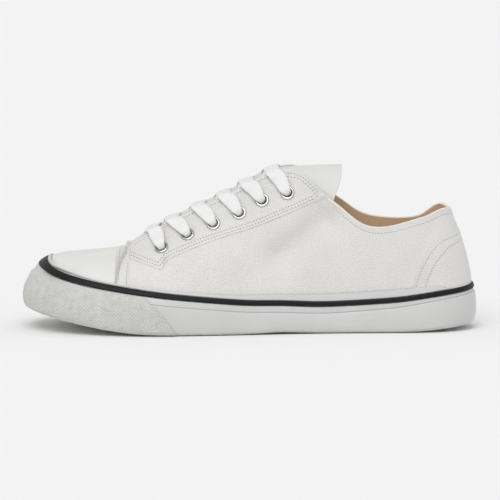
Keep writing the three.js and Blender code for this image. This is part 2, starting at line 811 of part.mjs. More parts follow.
// Moves a line across the shoe inwards by a thickness, in its own plane.
function inwardCopy(line, thickness) {
  return line.map((point, i) => {
    const before = line[Math.max(i - 1, 0)];
    const after = line[Math.min(i + 1, line.length - 1)];
    const turn = new THREE.Vector3(0, after.z - before.z, before.y - after.y).normalize();
    return point.clone().addScaledVector(turn, thickness);
  });
}

// Half of the tongue's line across the shoe: from its side edge, up under the throat's edge,
// to just before the crest. Near the free end the side edge swings forward.
function tongueHalf(sign, row, crest) {
  const free = Math.max((tongueFree - row.along) / (tongueFree - tongueEnd), 0);
  const sideAlong = row.along + (tongueSwing / soleLength) * free * free;
  const column = columnAt(sideAlong);
  const height = heightOf.opening(sideAlong);
  const low = shareAt(sign, column, height - eyeletDrop * row.reach);
  const foot = upperPoint(sign, column, low, underThroat);
  const edge = upperPoint(sign, column, 1, underThroat);
  const climb = edge.clone().sub(foot).normalize();
  const rise = Math.max(crest.z - edge.z, 0);
  const first = edge.clone().addScaledVector(climb, archPull * rise);
  const second = crest.clone();
  second.y += edge.y * archPull;
  const arch = new THREE.CubicBezierCurve3(edge, first, second, crest);
  const points = archShares.map((share) => {
    const point = arch.getPoint(share);
    point.x = mix(crest.x, edge.x, (1 - share) ** 3);
    return point;
  });
  return [foot, edge, ...points];
}

function tongueGeometry() {
  const half = ballWidth * opening.half(toeTurn) * tongueTuck;
  const lines = tongueFront.map((along) => {
    const middle = underVamp(soleLength * along);
    const shares = [-1, -0.8, -0.6, -0.4, -0.2, 0, 0.2, 0.4, 0.6, 0.8, 1];
    return shares.map((share) => {
      const y = share * half;
      return new THREE.Vector3(middle.x, y, middle.z - tongueThickness * share * share);
    });
  });
  tongueRows.forEach((row) => {
    const over = heightOf.opening(Math.max(row.along, tongueFree)) + row.crest * tongueThickness;
    const top = mix(over, instepHeight + tongueRise, row.climb);
    const crest = new THREE.Vector3(-soleLength * row.along, 0, top);
    const halves = [tongueHalf(lateral, row, crest), tongueHalf(medial, row, crest).reverse()];
    lines.push([...halves[0], crest, ...halves[1]]);
  });
  const sections = lines.map((line) => [...line, ...inwardCopy(line, tongueThickness).reverse()]);
  return barOf(sections);
}

// The laces

// Section of a lace, in shares of its width and thickness
const laceShape = [
  [-0.5, 0],
  [-0.4, 0.5],
  [0.4, 0.5],
  [0.5, 0],
  [0.4, -0.5],
  [-0.4, -0.5],
];

const overEyestay = eyeletBase + laceThickness / 2;
const overEyelet = overEyestay + eyeletHeight + 3 * gap;

// The lace's middle line and its upright directions on one side: over the eyelet, up the
// eyestay and over the throat's edge. slant is how far forward it is by the throat's edge.
function laceSide(sign, row, slant) {
  const { column, share } = eyeletSeat(sign, row);
  const stops = [
    { at: share, ahead: 0, over: overEyelet },
    { at: mix(share, 1, laceLiftOff), ahead: laceLiftOff, over: overEyestay + 3 * gap },
    { at: 1, ahead: 1, over: overEyestay + 5 * gap },
  ];
  const forward = (slant * sideColumns) / ((toeTurn - heelTurn) * soleLength);
  return stops.map(({ at, ahead, over }) => ({
    point: upperPoint(sign, column - forward * ahead, at, over),
    up: upperNormal(sign, column - forward * ahead, at),
  }));
}

// Over the tongue at a station: y across the throat, lifted over the opening line.
function laceOver(along, y, lift) {
  const slope = heightOf.opening(along - 0.01) - heightOf.opening(along + 0.01);
  const up = new THREE.Vector3(-slope, 0, 0.02 * soleLength).normalize();
  const point = new THREE.Vector3(-soleLength * along, y, heightOf.opening(along));
  return { point: point.addScaledVector(up, lift), up };
}

function strapOf(stops, width, thickness) {
  const path = new THREE.CatmullRomCurve3(stops.map(({ point }) => point));
  const ups = new THREE.CatmullRomCurve3(stops.map(({ up }) => up));
  const sections = [];
  for (let i = 0; i <= laceSteps; i += 1) {
    const share = i / laceSteps;
    const middle = path.getPoint(share);
    const tangent = path.getTangent(share);
    const across = ups.getPoint(share).cross(tangent).normalize();
    const up = tangent.clone().cross(across).normalize();
    sections.push(
      laceShape.map(([x, z]) =>
        middle.clone().addScaledVector(across, x * width).addScaledVector(up, z * thickness),
      ),
    );
  }
  return solidOf(barOf(sections));
}

function laceBarSolid() {
  const row = eyeletRows[0];
  const near = laceSide(lateral, row, laceBow / 2);
  const far = laceSide(medial, row, laceBow / 2).reverse();
  const middle = laceOver(row.along + laceBow / soleLength, 0, laceLift);
  return strapOf([...near, middle, ...far], laceWidth, laceThickness);
}

// A crossing: from each eyelet a lace goes forward over the throat, and ends short of the
// far edge, under which it would run on to the next eyelet down.
function laceCrossSolid(index) {
  const row = eyeletRows[index];
  const pitch = eyeletRows[index - 1].along - row.along;
  const strand = (sign) => {
    const near = laceSide(sign, row, crossSlant * pitch * soleLength);
    const middle = laceOver(row.along + pitch / 2, 0, laceLift);
    const endAlong = row.along + crossEnd * pitch;
    const endY = -sign * (ballWidth * opening.half(endAlong) - laceStop);
    return strapOf([...near, middle, laceOver(endAlong, endY, laceLift - gap)], laceWidth, laceThickness);
  };
  return strand(lateral).add(strand(medial));
}

// Colours

const finish = (color, roughness, metalness = 0) =>
  new THREE.MeshStandardMaterial({ color, roughness, metalness });
const canvas = finish(0xdedddb, 0.9);
const capFinish = finish(0xe8e8e5, 0.6);
const wallRubber = finish(0xd9dbda, 0.45);
const bumperRubber = finish(0xd7d7d2, 0.7);
const stripeRubber = finish(0x232426, 0.5);
const treadRubber = finish(0xd2d2cc, 0.7);
const lining = finish(0xc9aa85, 0.95);
const laceCotton = finish(0xf0f0ef, 0.9);
const nickel = finish(0xc8c8c8, 0.25, 1);

// Assembly

const shoe = new THREE.Group();

function addPiece(name, shape, material) {
  const geometry = shape instanceof THREE.BufferGeometry ? shape : geometryFrom(shape);
  const mesh = new THREE.Mesh(geometry, material);
  mesh.name = name;
  shoe.add(mesh);
  return mesh;
}

const sides = [
  ["lateral", lateral],
  ["medial", medial],
];
const upperBored = sides.reduce(
  (cut, [, sign]) => eyeletRows.reduce((left, row) => left.subtract(eyeletBore(sign, row)), cut),
  upperSolid(),
);

addPiece("outsole", outsoleSolid(), treadRubber);
addPiece("sole_sidewall", sidewallGeometry(), wallRubber);
addPiece("foxing_band", bandGeometry(), wallRubber);
addPiece("foxing_stripe", stripeGeometry(), stripeRubber);
addPiece("toe_bumper", bumperSolid(), bumperRubber);
addPiece("insole", insoleGeometry(), lining);
addPiece("upper", upperBored, canvas);
addPiece("toe_cap", toeCapSolid(), capFinish);
addPiece("heel_counter", counterSolid(), canvas);
addPiece("tongue", tongueGeometry(), canvas);
addPiece("lace_bar_1", laceBarSolid(), laceCotton);
for (let index = 1; index < eyeletRows.length; index += 1) {
  addPiece(`lace_cross_${index + 1}`, laceCrossSolid(index), laceCotton);
}
sides.forEach(([label, sign]) => {
  addPiece(`eyestay_${label}`, eyestaySolid(sign), canvas);
  eyeletRows.forEach((row, index) => {
    const { column, share, normal } = eyeletSeat(sign, row);
    const eyelet = addPiece(`eyelet_${label}_${index + 1}`, eyeletGeometry(), nickel);
    eyelet.position.copy(upperPoint(sign, column, share));
    eyelet.quaternion.setFromUnitVectors(THREE.Object3D.DEFAULT_UP, normal);
  });
});

// The origin is under the middle of the whole shoe, on the ground.
shoe.updateMatrixWorld(true);
const box = new THREE.Box3().setFromObject(shoe, true);
shoe.position.set(-(box.min.x + box.max.x) / 2, -(box.min.y + box.max.y) / 2, -box.min.z);

export default shoe;
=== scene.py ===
# Canvas sneaker: the looks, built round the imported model.
# Metres, +Z up, toe towards -X, outer (lateral) side towards -Y, ground on Z = 0.
import math

import bpy
import numpy as np
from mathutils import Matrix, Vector
from mathutils.bvhtree import BVHTree


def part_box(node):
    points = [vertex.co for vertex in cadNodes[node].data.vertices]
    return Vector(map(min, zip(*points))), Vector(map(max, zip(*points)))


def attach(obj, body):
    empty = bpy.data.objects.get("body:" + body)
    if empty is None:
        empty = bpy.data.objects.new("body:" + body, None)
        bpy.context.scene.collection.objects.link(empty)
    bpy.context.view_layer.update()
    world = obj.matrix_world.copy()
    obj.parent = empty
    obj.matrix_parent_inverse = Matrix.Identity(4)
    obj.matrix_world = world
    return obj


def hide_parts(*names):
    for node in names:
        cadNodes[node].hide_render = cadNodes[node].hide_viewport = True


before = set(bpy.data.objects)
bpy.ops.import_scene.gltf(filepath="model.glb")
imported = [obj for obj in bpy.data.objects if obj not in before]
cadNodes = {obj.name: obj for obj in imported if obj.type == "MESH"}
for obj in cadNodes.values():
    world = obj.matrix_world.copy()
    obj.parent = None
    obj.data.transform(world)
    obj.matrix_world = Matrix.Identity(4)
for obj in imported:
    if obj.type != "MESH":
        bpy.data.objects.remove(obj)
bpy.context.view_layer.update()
mm = 0.001
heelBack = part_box("sole_sidewall")[1].x  # distances "from the heel" start here, in mm
sideNames = ("lateral", "medial")
print("frame loaded:", len(cadNodes), "nodes")


# Small helpers


def selectOnly(*objects):
    for obj in list(bpy.context.selected_objects):
        obj.select_set(False)
    for obj in objects:
        obj.select_set(True)
    bpy.context.view_layer.objects.active = objects[-1]


def inEditMode(obj, *steps):
    # runs operators on the whole mesh in edit mode
    selectOnly(obj)
    bpy.ops.object.mode_set(mode="EDIT")
    bpy.ops.mesh.select_all(action="SELECT")
    for step in steps:
        step()
    bpy.ops.object.mode_set(mode="OBJECT")


def mergeDoubles():
    bpy.ops.mesh.remove_doubles(threshold=0.00002)


def trianglesToQuads():
    bpy.ops.mesh.tris_convert_to_quads(face_threshold=math.radians(50), shape_threshold=math.radians(60))


def facesOut():
    bpy.ops.mesh.normals_make_consistent(inside=False)


def addModifier(obj, kind, **settings):
    modifier = obj.modifiers.new(kind.title(), kind)
    for name, value in settings.items():
        setattr(modifier, name, value)
    selectOnly(obj)
    bpy.ops.object.modifier_apply(modifier=modifier.name)


def smoothShading(obj, angle=40):
    selectOnly(obj)
    bpy.ops.object.shade_smooth_by_angle(angle=math.radians(angle))


def readAll(items, attribute, width=3, kind=float):
    # one attribute of all vertices, edges, faces or corners
    values = np.zeros(len(items) * width, kind)
    items.foreach_get(attribute, values)
    return values.reshape(-1, width) if width > 1 else values


def pointsOf(obj):
    return readAll(obj.data.vertices, "co")


def vertexNormals(obj):
    return readAll(obj.data.vertices, "normal")


def movePoints(obj, points):
    obj.data.vertices.foreach_set("co", np.asarray(points, float).ravel())
    obj.data.update()


def setMap(obj, uv):
    # a UV map, given by vertex
    layer = obj.data.uv_layers.active or obj.data.uv_layers.new(name="UVMap")
    layer.data.foreach_set("uv", uv[readAll(obj.data.loops, "vertex_index", 1, int)].ravel())


def treeOf(mesh):
    return BVHTree.FromPolygons([v.co for v in mesh.vertices], [f.vertices for f in mesh.polygons])


def copyOfNode(node, name):
    copy = cadNodes[node].copy()
    copy.data = cadNodes[node].data.copy()
    for key in list(copy.keys()):
        del copy[key]
    copy.parent = None
    copy.name = copy.data.name = name
    bpy.context.scene.collection.objects.link(copy)
    inEditMode(copy, mergeDoubles, trianglesToQuads)
    return copy


def finishPiece(obj, material, slot, *replaced):
    obj.data.materials.clear()
    obj.data.materials.append(material)
    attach(obj, "root")
    if replaced:
        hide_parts(*replaced)
    return obj


def unit(vectors):
    return vectors / np.maximum(np.linalg.norm(vectors, axis=-1, keepdims=True), 1e-12)


def gridPiece(name, points, closed=False):
    # a sheet from a grid primitive: points[column, row], its faces point to column x row;
    # its UV map holds real lengths in metres, so that a weave keeps its scale
    columns, rows = points.shape[:2]
    bpy.ops.mesh.primitive_grid_add(x_subdivisions=columns - 1, y_subdivisions=rows - 1, size=1)
    obj = bpy.context.object
    obj.name = obj.data.name = name
    movePoints(obj, points.transpose(1, 0, 2))
    across = np.linalg.norm(np.diff(points, axis=0), axis=2).mean(axis=1)
    up = np.linalg.norm(np.diff(points, axis=1), axis=2)
    u = np.concatenate([[0], np.cumsum(across)])[:, None] + np.zeros((columns, rows))
    v = np.concatenate([np.zeros((columns, 1)), np.cumsum(up, axis=1)], axis=1)
    setMap(obj, np.stack([u, v], axis=2).transpose(1, 0, 2).reshape(-1, 2))
    if closed:
        inEditMode(obj, mergeDoubles)
    return obj


def ringSpline(values, at):
    # a smooth closed curve through evenly numbered values, read at fractional numbers
    count = len(values)
    eye = np.eye(count)
    blend = (4 * eye + np.roll(eye, 1, 0) + np.roll(eye, -1, 0)) / 6
    pulls = np.linalg.solve(blend, values.reshape(count, -1))
    start = np.floor(at).astype(int)
    u = (at - start)[:, None]
    weights = ((1 - u) ** 3, 3 * u**3 - 6 * u**2 + 4, -3 * u**3 + 3 * u**2 + 3 * u + 1, u**3)
    return sum(w * pulls[(start + i - 1) % count] for i, w in enumerate(weights)) / 6


def smoothPath(points, count):
    # an even row of points on a smooth open curve through a few
    points = np.asarray(points, float)
    last = len(points) - 1
    ends = np.concatenate([[2 * points[0] - points[1]], points, [2 * points[-1] - points[-2]]])
    at = np.linspace(0, last, 16 * last + 1)
    i = np.minimum(at.astype(int), last - 1)
    u = (at - i)[:, None]
    p0, p1, p2, p3 = ends[i], ends[i + 1], ends[i + 2], ends[i + 3]
    dense = 0.5 * (
        2 * p1 + (p2 - p0) * u + (2 * p0 - 5 * p1 + 4 * p2 - p3) * u**2 + (3 * p1 - p0 - 3 * p2 + p3) * u**3
    )
    return evenPath(dense, count)


def lengthsAlong(points):
    return np.concatenate([[0], np.cumsum(np.linalg.norm(np.diff(points, axis=0), axis=1))])


def evenPath(dense, count):
    length = lengthsAlong(dense)
    wanted = np.linspace(0, length[-1], count)
    return np.stack([np.interp(wanted, length, dense[:, i]) for i in range(dense.shape[1])], axis=1)


def pathLength(points):
    return float(lengthsAlong(points)[-1])


def feed(tree, node, **inputs):
    # links or plain values into a node's inputs
    for label, value in inputs.items():
        socket = node.inputs[label.replace("_", " ")]
        if isinstance(value, bpy.types.NodeSocket):
            tree.links.new(value, socket)
        else:
            socket.default_value = value
    return node


def newMaterial(name, roughness, **constants):
    material = bpy.data.materials.new(name)
    material.use_nodes = True
    tree = material.node_tree
    return material, tree, feed(tree, tree.nodes["Principled BSDF"], Roughness=roughness, **constants)


# Camera, floor and light, at the photograph's angle

view = {
    "elevation": 6.0,
    "distance": 2.3,
    "frameWidth": 0.3184,  # what the picture spans at the shoe
    "aimHeight": 0.0493,
    "floorColor": (0.9, 0.9, 0.9, 1),
    "domeStrength": 0.715,
    "sunStrength": 1.2,
    "sunTilt": (40, -10),
    "sunAngle": 40,
}


def makeStage():
    tilt = math.radians(view["elevation"])
    aim = Vector((0, 0, view["aimHeight"]))
    back = Vector((0, -math.cos(tilt), math.sin(tilt)))
    bpy.ops.object.camera_add(location=aim + back * view["distance"])
    camera = bpy.context.object
    camera.name = "camera"
    camera.rotation_mode = "QUATERNION"
    camera.rotation_quaternion = (-back).to_track_quat("-Z", "Y")
    camera.data.sensor_width = 36
    camera.data.lens = 36 * view["distance"] / view["frameWidth"]
    camera.data.clip_start, camera.data.clip_end = 0.05, 200
    bpy.context.scene.camera = camera

    bpy.ops.mesh.primitive_plane_add(size=60)
    floor = bpy.context.object
    floor.name = "floor"
    paper = newMaterial("floor_paper", 0.9, Base_Color=view["floorColor"], Specular_IOR_Level=0.1)
    floor.data.materials.append(paper[0])

    world = bpy.data.worlds.new("studio")
    bpy.context.scene.world = world
    world.use_nodes = True
    sky = world.node_tree.nodes["Background"]
    feed(world.node_tree, sky, Strength=view["domeStrength"], Color=(1, 1, 1, 1))
    bpy.ops.object.light_add(type="SUN")
    sun = bpy.context.object
    sun.name = "softbox"
    sun.data.energy = view["sunStrength"]
    sun.data.angle = math.radians(view["sunAngle"])
    sun.rotation_euler = [math.radians(a) for a in (*view["sunTilt"], 0)]
    bpy.context.scene.view_settings.view_transform = "Standard"


makeStage()
print("camera, floor and light")


# Shader groups: each puts out heights and masks that materials place with their own values


def newGroup(name, outputs, **floats):
    group = bpy.data.node_groups.new(name, "ShaderNodeTree")
    group.interface.new_socket("Vector", in_out="INPUT", socket_type="NodeSocketVector")
    for label, value in floats.items():
        group.interface.new_socket(label, in_out="INPUT", socket_type="NodeSocketFloat").default_value = value
    for label in outputs:
        group.interface.new_socket(label, in_out="OUTPUT", socket_type="NodeSocketFloat")
    return group, group.nodes.new("NodeGroupInput").outputs, group.nodes.new("NodeGroupOutput")


def mathIn(tree):
    # puts math nodes in one tree
    def calculate(operation, *values):
        node = tree.nodes.new("ShaderNodeMath")
        node.operation = operation
        for socket, value in zip(node.inputs, values):
            if isinstance(value, bpy.types.NodeSocket):
                tree.links.new(value, socket)
            else:
                socket.default_value = value
        return node.outputs[0]

    return calculate


def noiseNode(tree, vector, scale, detail=2.0, roughness=0.5):
    node = tree.nodes.new("ShaderNodeTexNoise")
    return feed(tree, node, Vector=vector, Scale=scale, Detail=detail, Roughness=roughness).outputs["Fac"]


def axesOf(tree, vector):
    return feed(tree, tree.nodes.new("ShaderNodeSeparateXYZ"), Vector=vector).outputs


def weaveGroup():
    # plain weave: warp and weft ribs that pass over and under each other, a little uneven
    group, given, out = newGroup("weave", ("Height", "Slub"), Threads=1600.0)
    do, axes = mathIn(group), axesOf(group, given["Vector"])
    wobble = noiseNode(group, given["Vector"], 900)
    waves = []
    for axis in (0, 1):
        bent = do("MULTIPLY_ADD", wobble, 0.5, do("MULTIPLY", axes[axis], given["Threads"]))
        waves.append(do("SINE", do("MULTIPLY", bent, math.pi)))
    over = do("GREATER_THAN", do("MULTIPLY", *waves), 0.0)
    under = do("SUBTRACT", 1.0, over)
    warp = do("MULTIPLY", do("ABSOLUTE", waves[0]), do("MULTIPLY_ADD", over, 0.5, 0.5))
    weft = do("MULTIPLY", do("ABSOLUTE", waves[1]), do("MULTIPLY_ADD", under, 0.5, 0.5))
    slub = noiseNode(group, given["Vector"], 1400, 3.0, 0.7)
    height = do("ADD", do("MAXIMUM", warp, weft), do("MULTIPLY", slub, 0.8))
    feed(group, out, Height=height, Slub=slub)
    return group


def grimeGroup():
    # broad, faint unevenness of colour, for cloth and rubber that has been handled
    group, given, out = newGroup("handled", ("Mask",), Scale=40.0)
    feed(group, out, Mask=noiseNode(group, given["Vector"], given["Scale"], 4.0))
    return group


def pyramidGroup():
    # small pyramids in diagonal rows, worn here and there
    group, given, out = newGroup("pyramids", ("Height",), Rows=540.0)
    do, axes = mathIn(group), axesOf(group, given["Vector"])
    ramps = []
    for operation in ("ADD", "SUBTRACT"):
        slanted = do("MULTIPLY", do(operation, axes[0], axes[1]), given["Rows"])
        ramps.append(do("PINGPONG", slanted, 0.5))
    worn = noiseNode(group, given["Vector"], 260, 3.0, 0.6)
    peak = do("MULTIPLY", do("MINIMUM", *ramps), do("MULTIPLY_ADD", worn, 1.6, -0.1))
    feed(group, out, Height=peak)
    return group


weave = weaveGroup()
pyramidDepth = 0.0011
pyramids = pyramidGroup()
handled = grimeGroup()


def groupNode(tree, group, vector, **values):
    node = tree.nodes.new("ShaderNodeGroup")
    node.node_tree = group
    return feed(tree, node, Vector=vector, **values)


def mixedColor(tree, factor, dark, light, low=0.35, high=0.65):
    ramp = tree.nodes.new("ShaderNodeValToRGB")
    for stop, position, color in zip(ramp.color_ramp.elements, (low, high), (dark, light)):
        stop.position, stop.color = position, (*color, 1)
    return feed(tree, ramp, Fac=factor).outputs["Color"]


def bumpFrom(tree, shader, height, distance):
    bump = feed(tree, tree.nodes.new("ShaderNodeBump"), Height=height, Distance=distance, Strength=1.0)
    feed(tree, shader, Normal=bump.outputs["Normal"])


def shaded(color, factor):
    return tuple(c * factor for c in color)


def colorMix(tree, first, second, factor, blend="MIX"):
    node = tree.nodes.new("ShaderNodeMix")
    node.data_type, node.blend_type = "RGBA", blend
    return feed(tree, node, A=first, B=second, Factor=factor).outputs["Result"]


def clothMaterial(name, color, threads, depth, mottle=0.05, speckle=0.14, useUV=True):
    material, tree, shader = newMaterial(name, 0.92, Sheen_Weight=0.25, Sheen_Roughness=0.5, Specular_IOR_Level=0.25)
    place = tree.nodes.new("ShaderNodeTexCoord")
    vector = place.outputs["UV" if useUV else "Object"]
    cloth = groupNode(tree, weave, vector, Threads=threads)
    broad = groupNode(tree, handled, place.outputs["Object"], Scale=30.0)
    fine = mixedColor(tree, cloth.outputs["Slub"], shaded(color, 1 - speckle), color, 0.3, 0.62)
    wide = mixedColor(tree, broad.outputs["Mask"], (1 - mottle,) * 3, (1.0,) * 3)
    feed(tree, shader, Base_Color=colorMix(tree, fine, wide, 1.0, "MULTIPLY"))
    bumpFrom(tree, shader, cloth.outputs["Height"], depth)
    return material


def rubberMaterial(
    name, color, roughness, mottle=0.05, grain=0.00004, grainScale=1500, coat=0.0, specular=0.4, rows=0
):
    material, tree, shader = newMaterial(
        name, roughness, Specular_IOR_Level=specular, Coat_Weight=coat, Coat_Roughness=0.25
    )
    place = tree.nodes.new("ShaderNodeTexCoord").outputs["Object"]
    broad = groupNode(tree, handled, place, Scale=45.0)
    feed(tree, shader, Base_Color=mixedColor(tree, broad.outputs["Mask"], shaded(color, 1 - mottle), color))
    height, depth = noiseNode(tree, place, grainScale, 3.0), grain
    if rows:
        place = tree.nodes.new("ShaderNodeTexCoord").outputs["UV"]
        height, depth = groupNode(tree, pyramids, place, Rows=rows).outputs["Height"], pyramidDepth
    bumpFrom(tree, shader, height, depth)
    return material


def metalMaterial(name, color, roughness):
    material, tree, shader = newMaterial(name, roughness, Metallic=1.0)
    place = tree.nodes.new("ShaderNodeTexCoord").outputs["Object"]
    broad = groupNode(tree, handled, place, Scale=300.0)
    plain = mixedColor(tree, broad.outputs["Mask"], shaded(color, 0.85), color)
    # painted shade: the base colour darkens towards grazing angles, standing in for dark reflections along each
    # ring's rims
    edge = feed(tree, tree.nodes.new("ShaderNodeLayerWeight"), Blend=0.45).outputs["Facing"]
    feed(tree, shader, Base_Color=colorMix(tree, plain, (*shaded(color, 0.12), 1), edge))
    bumpFrom(tree, shader, noiseNode(tree, place, 2500, 2.0), 0.00001)
    return material


canvas = clothMaterial("canvas", (0.93, 0.915, 0.89), 1500, 0.0002, speckle=0.3)
canvasTongue = clothMaterial("canvas_tongue", (0.74, 0.74, 0.715), 1900, 0.0001)
liningCloth = clothMaterial("lining", (0.80, 0.56, 0.36), 1700, 0.00008, speckle=0.2)
pipingCloth = clothMaterial("piping", (0.86, 0.82, 0.73), 2500, 0.00005)
laceCloth = clothMaterial("lace_cotton", (0.84, 0.84, 0.835), 1300, 0.00010, mottle=0.02, speckle=0.06)
thread = clothMaterial("thread", (0.8, 0.79, 0.76), 4000, 0.00002, useUV=False)
# painted shade: a near-black colour for small discs that stand for the shadow inside each needle hole
pinholeShade = rubberMaterial("pinholeShade", (0.16, 0.155, 0.14), 0.95)
capCoating = rubberMaterial("cap_coating", (0.725, 0.725, 0.70), 0.5, mottle=0.03, grain=0.00003, grainScale=900)
wallRubber = rubberMaterial("wall_rubber", (0.59, 0.595, 0.585), 0.38, mottle=0.04, coat=0.15)
bumperRubber = rubberMaterial("bumper_rubber", (0.61, 0.61, 0.585), 0.55, mottle=0.06, rows=430.0)
stripeRubber = rubberMaterial("stripe_rubber", (0.008, 0.009, 0.01), 0.5, mottle=0.25, specular=0.22)
treadRubber = rubberMaterial("tread_rubber", (0.68, 0.68, 0.64), 0.7, mottle=0.08, grain=0.0001, grainScale=700)
nickel = metalMaterial("nickel", (0.72, 0.71, 0.69), 0.2)
print("materials")


# The upper's smooth surface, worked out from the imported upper's own corners


def eyeletSeats():
    # centre of each eyelet's flange, and its outward direction
    seats = {}
    for side in sideNames:
        for number in range(1, 7):
            name = f"eyelet_{side}_{number}"
            points = np.unique(pointsOf(cadNodes[name]).round(6), axis=0)
            middle = points.mean(axis=0)
            far = np.linalg.norm(points - middle, axis=1)
            flange = points[far > far.max() - 0.0004]
            centre = flange.mean(axis=0)
            axis = np.linalg.svd(flange - centre)[2][2]
            if axis @ (centre - middle) < 0:
                axis = -axis
            seats[(side, number)] = (centre, axis)
    return seats


def edgeLoops(obj):
    # the long closed loops of sharp edges, each as an ordered row of points
    mesh = obj.data
    faceOf = {}
    for face in mesh.polygons:
        for key in face.edge_keys:
            faceOf.setdefault(key, []).append(face.normal.copy())
    neighbours = {}
    for (a, b), normals in faceOf.items():
        if len(normals) == 2 and normals[0].angle(normals[1], 0) > math.radians(48):
            neighbours.setdefault(a, []).append(b)
            neighbours.setdefault(b, []).append(a)
    loops, seen = [], set()
    for first in neighbours:
        if first in seen:
            continue
        row, last = [first], None
        seen.add(first)
        while True:
            onward = [v for v in neighbours[row[-1]] if v != last and v not in seen]
            if not onward:
                break
            last = row[-1]
            row.append(onward[0])
            seen.add(onward[0])
        if len(row) > 30:
            loops.append(np.array([mesh.vertices[v].co[:] for v in row]))
    return loops


def startAtToe(loop):
    # numbered from the toe tip, first along the outer side
    first = int(np.argmin(loop[:, 0] + 0.3 * np.abs(loop[:, 1] - loop[:, 1].mean())))
    loop = np.roll(loop, -first, axis=0)
    return loop if loop[1, 1] < loop[-1, 1] else np.roll(loop[::-1], 1, axis=0)


fitting = {  # mm
    "featherBelow": 30,  # the loop at the feather line lies lower on average
    "eyeletClear": 5.2,
    "halfPlane": 1.2,  # how far from a column's plane a corner may lie
    "highest": 50,
    "stray": 8,
}
innerTopLine = {36: 1.5, 35: 2.2, 34: 1.4, 33: -1.2, 32: -3.4, 31: -2.6, 30: -0.8}  # inner collar, mm by column


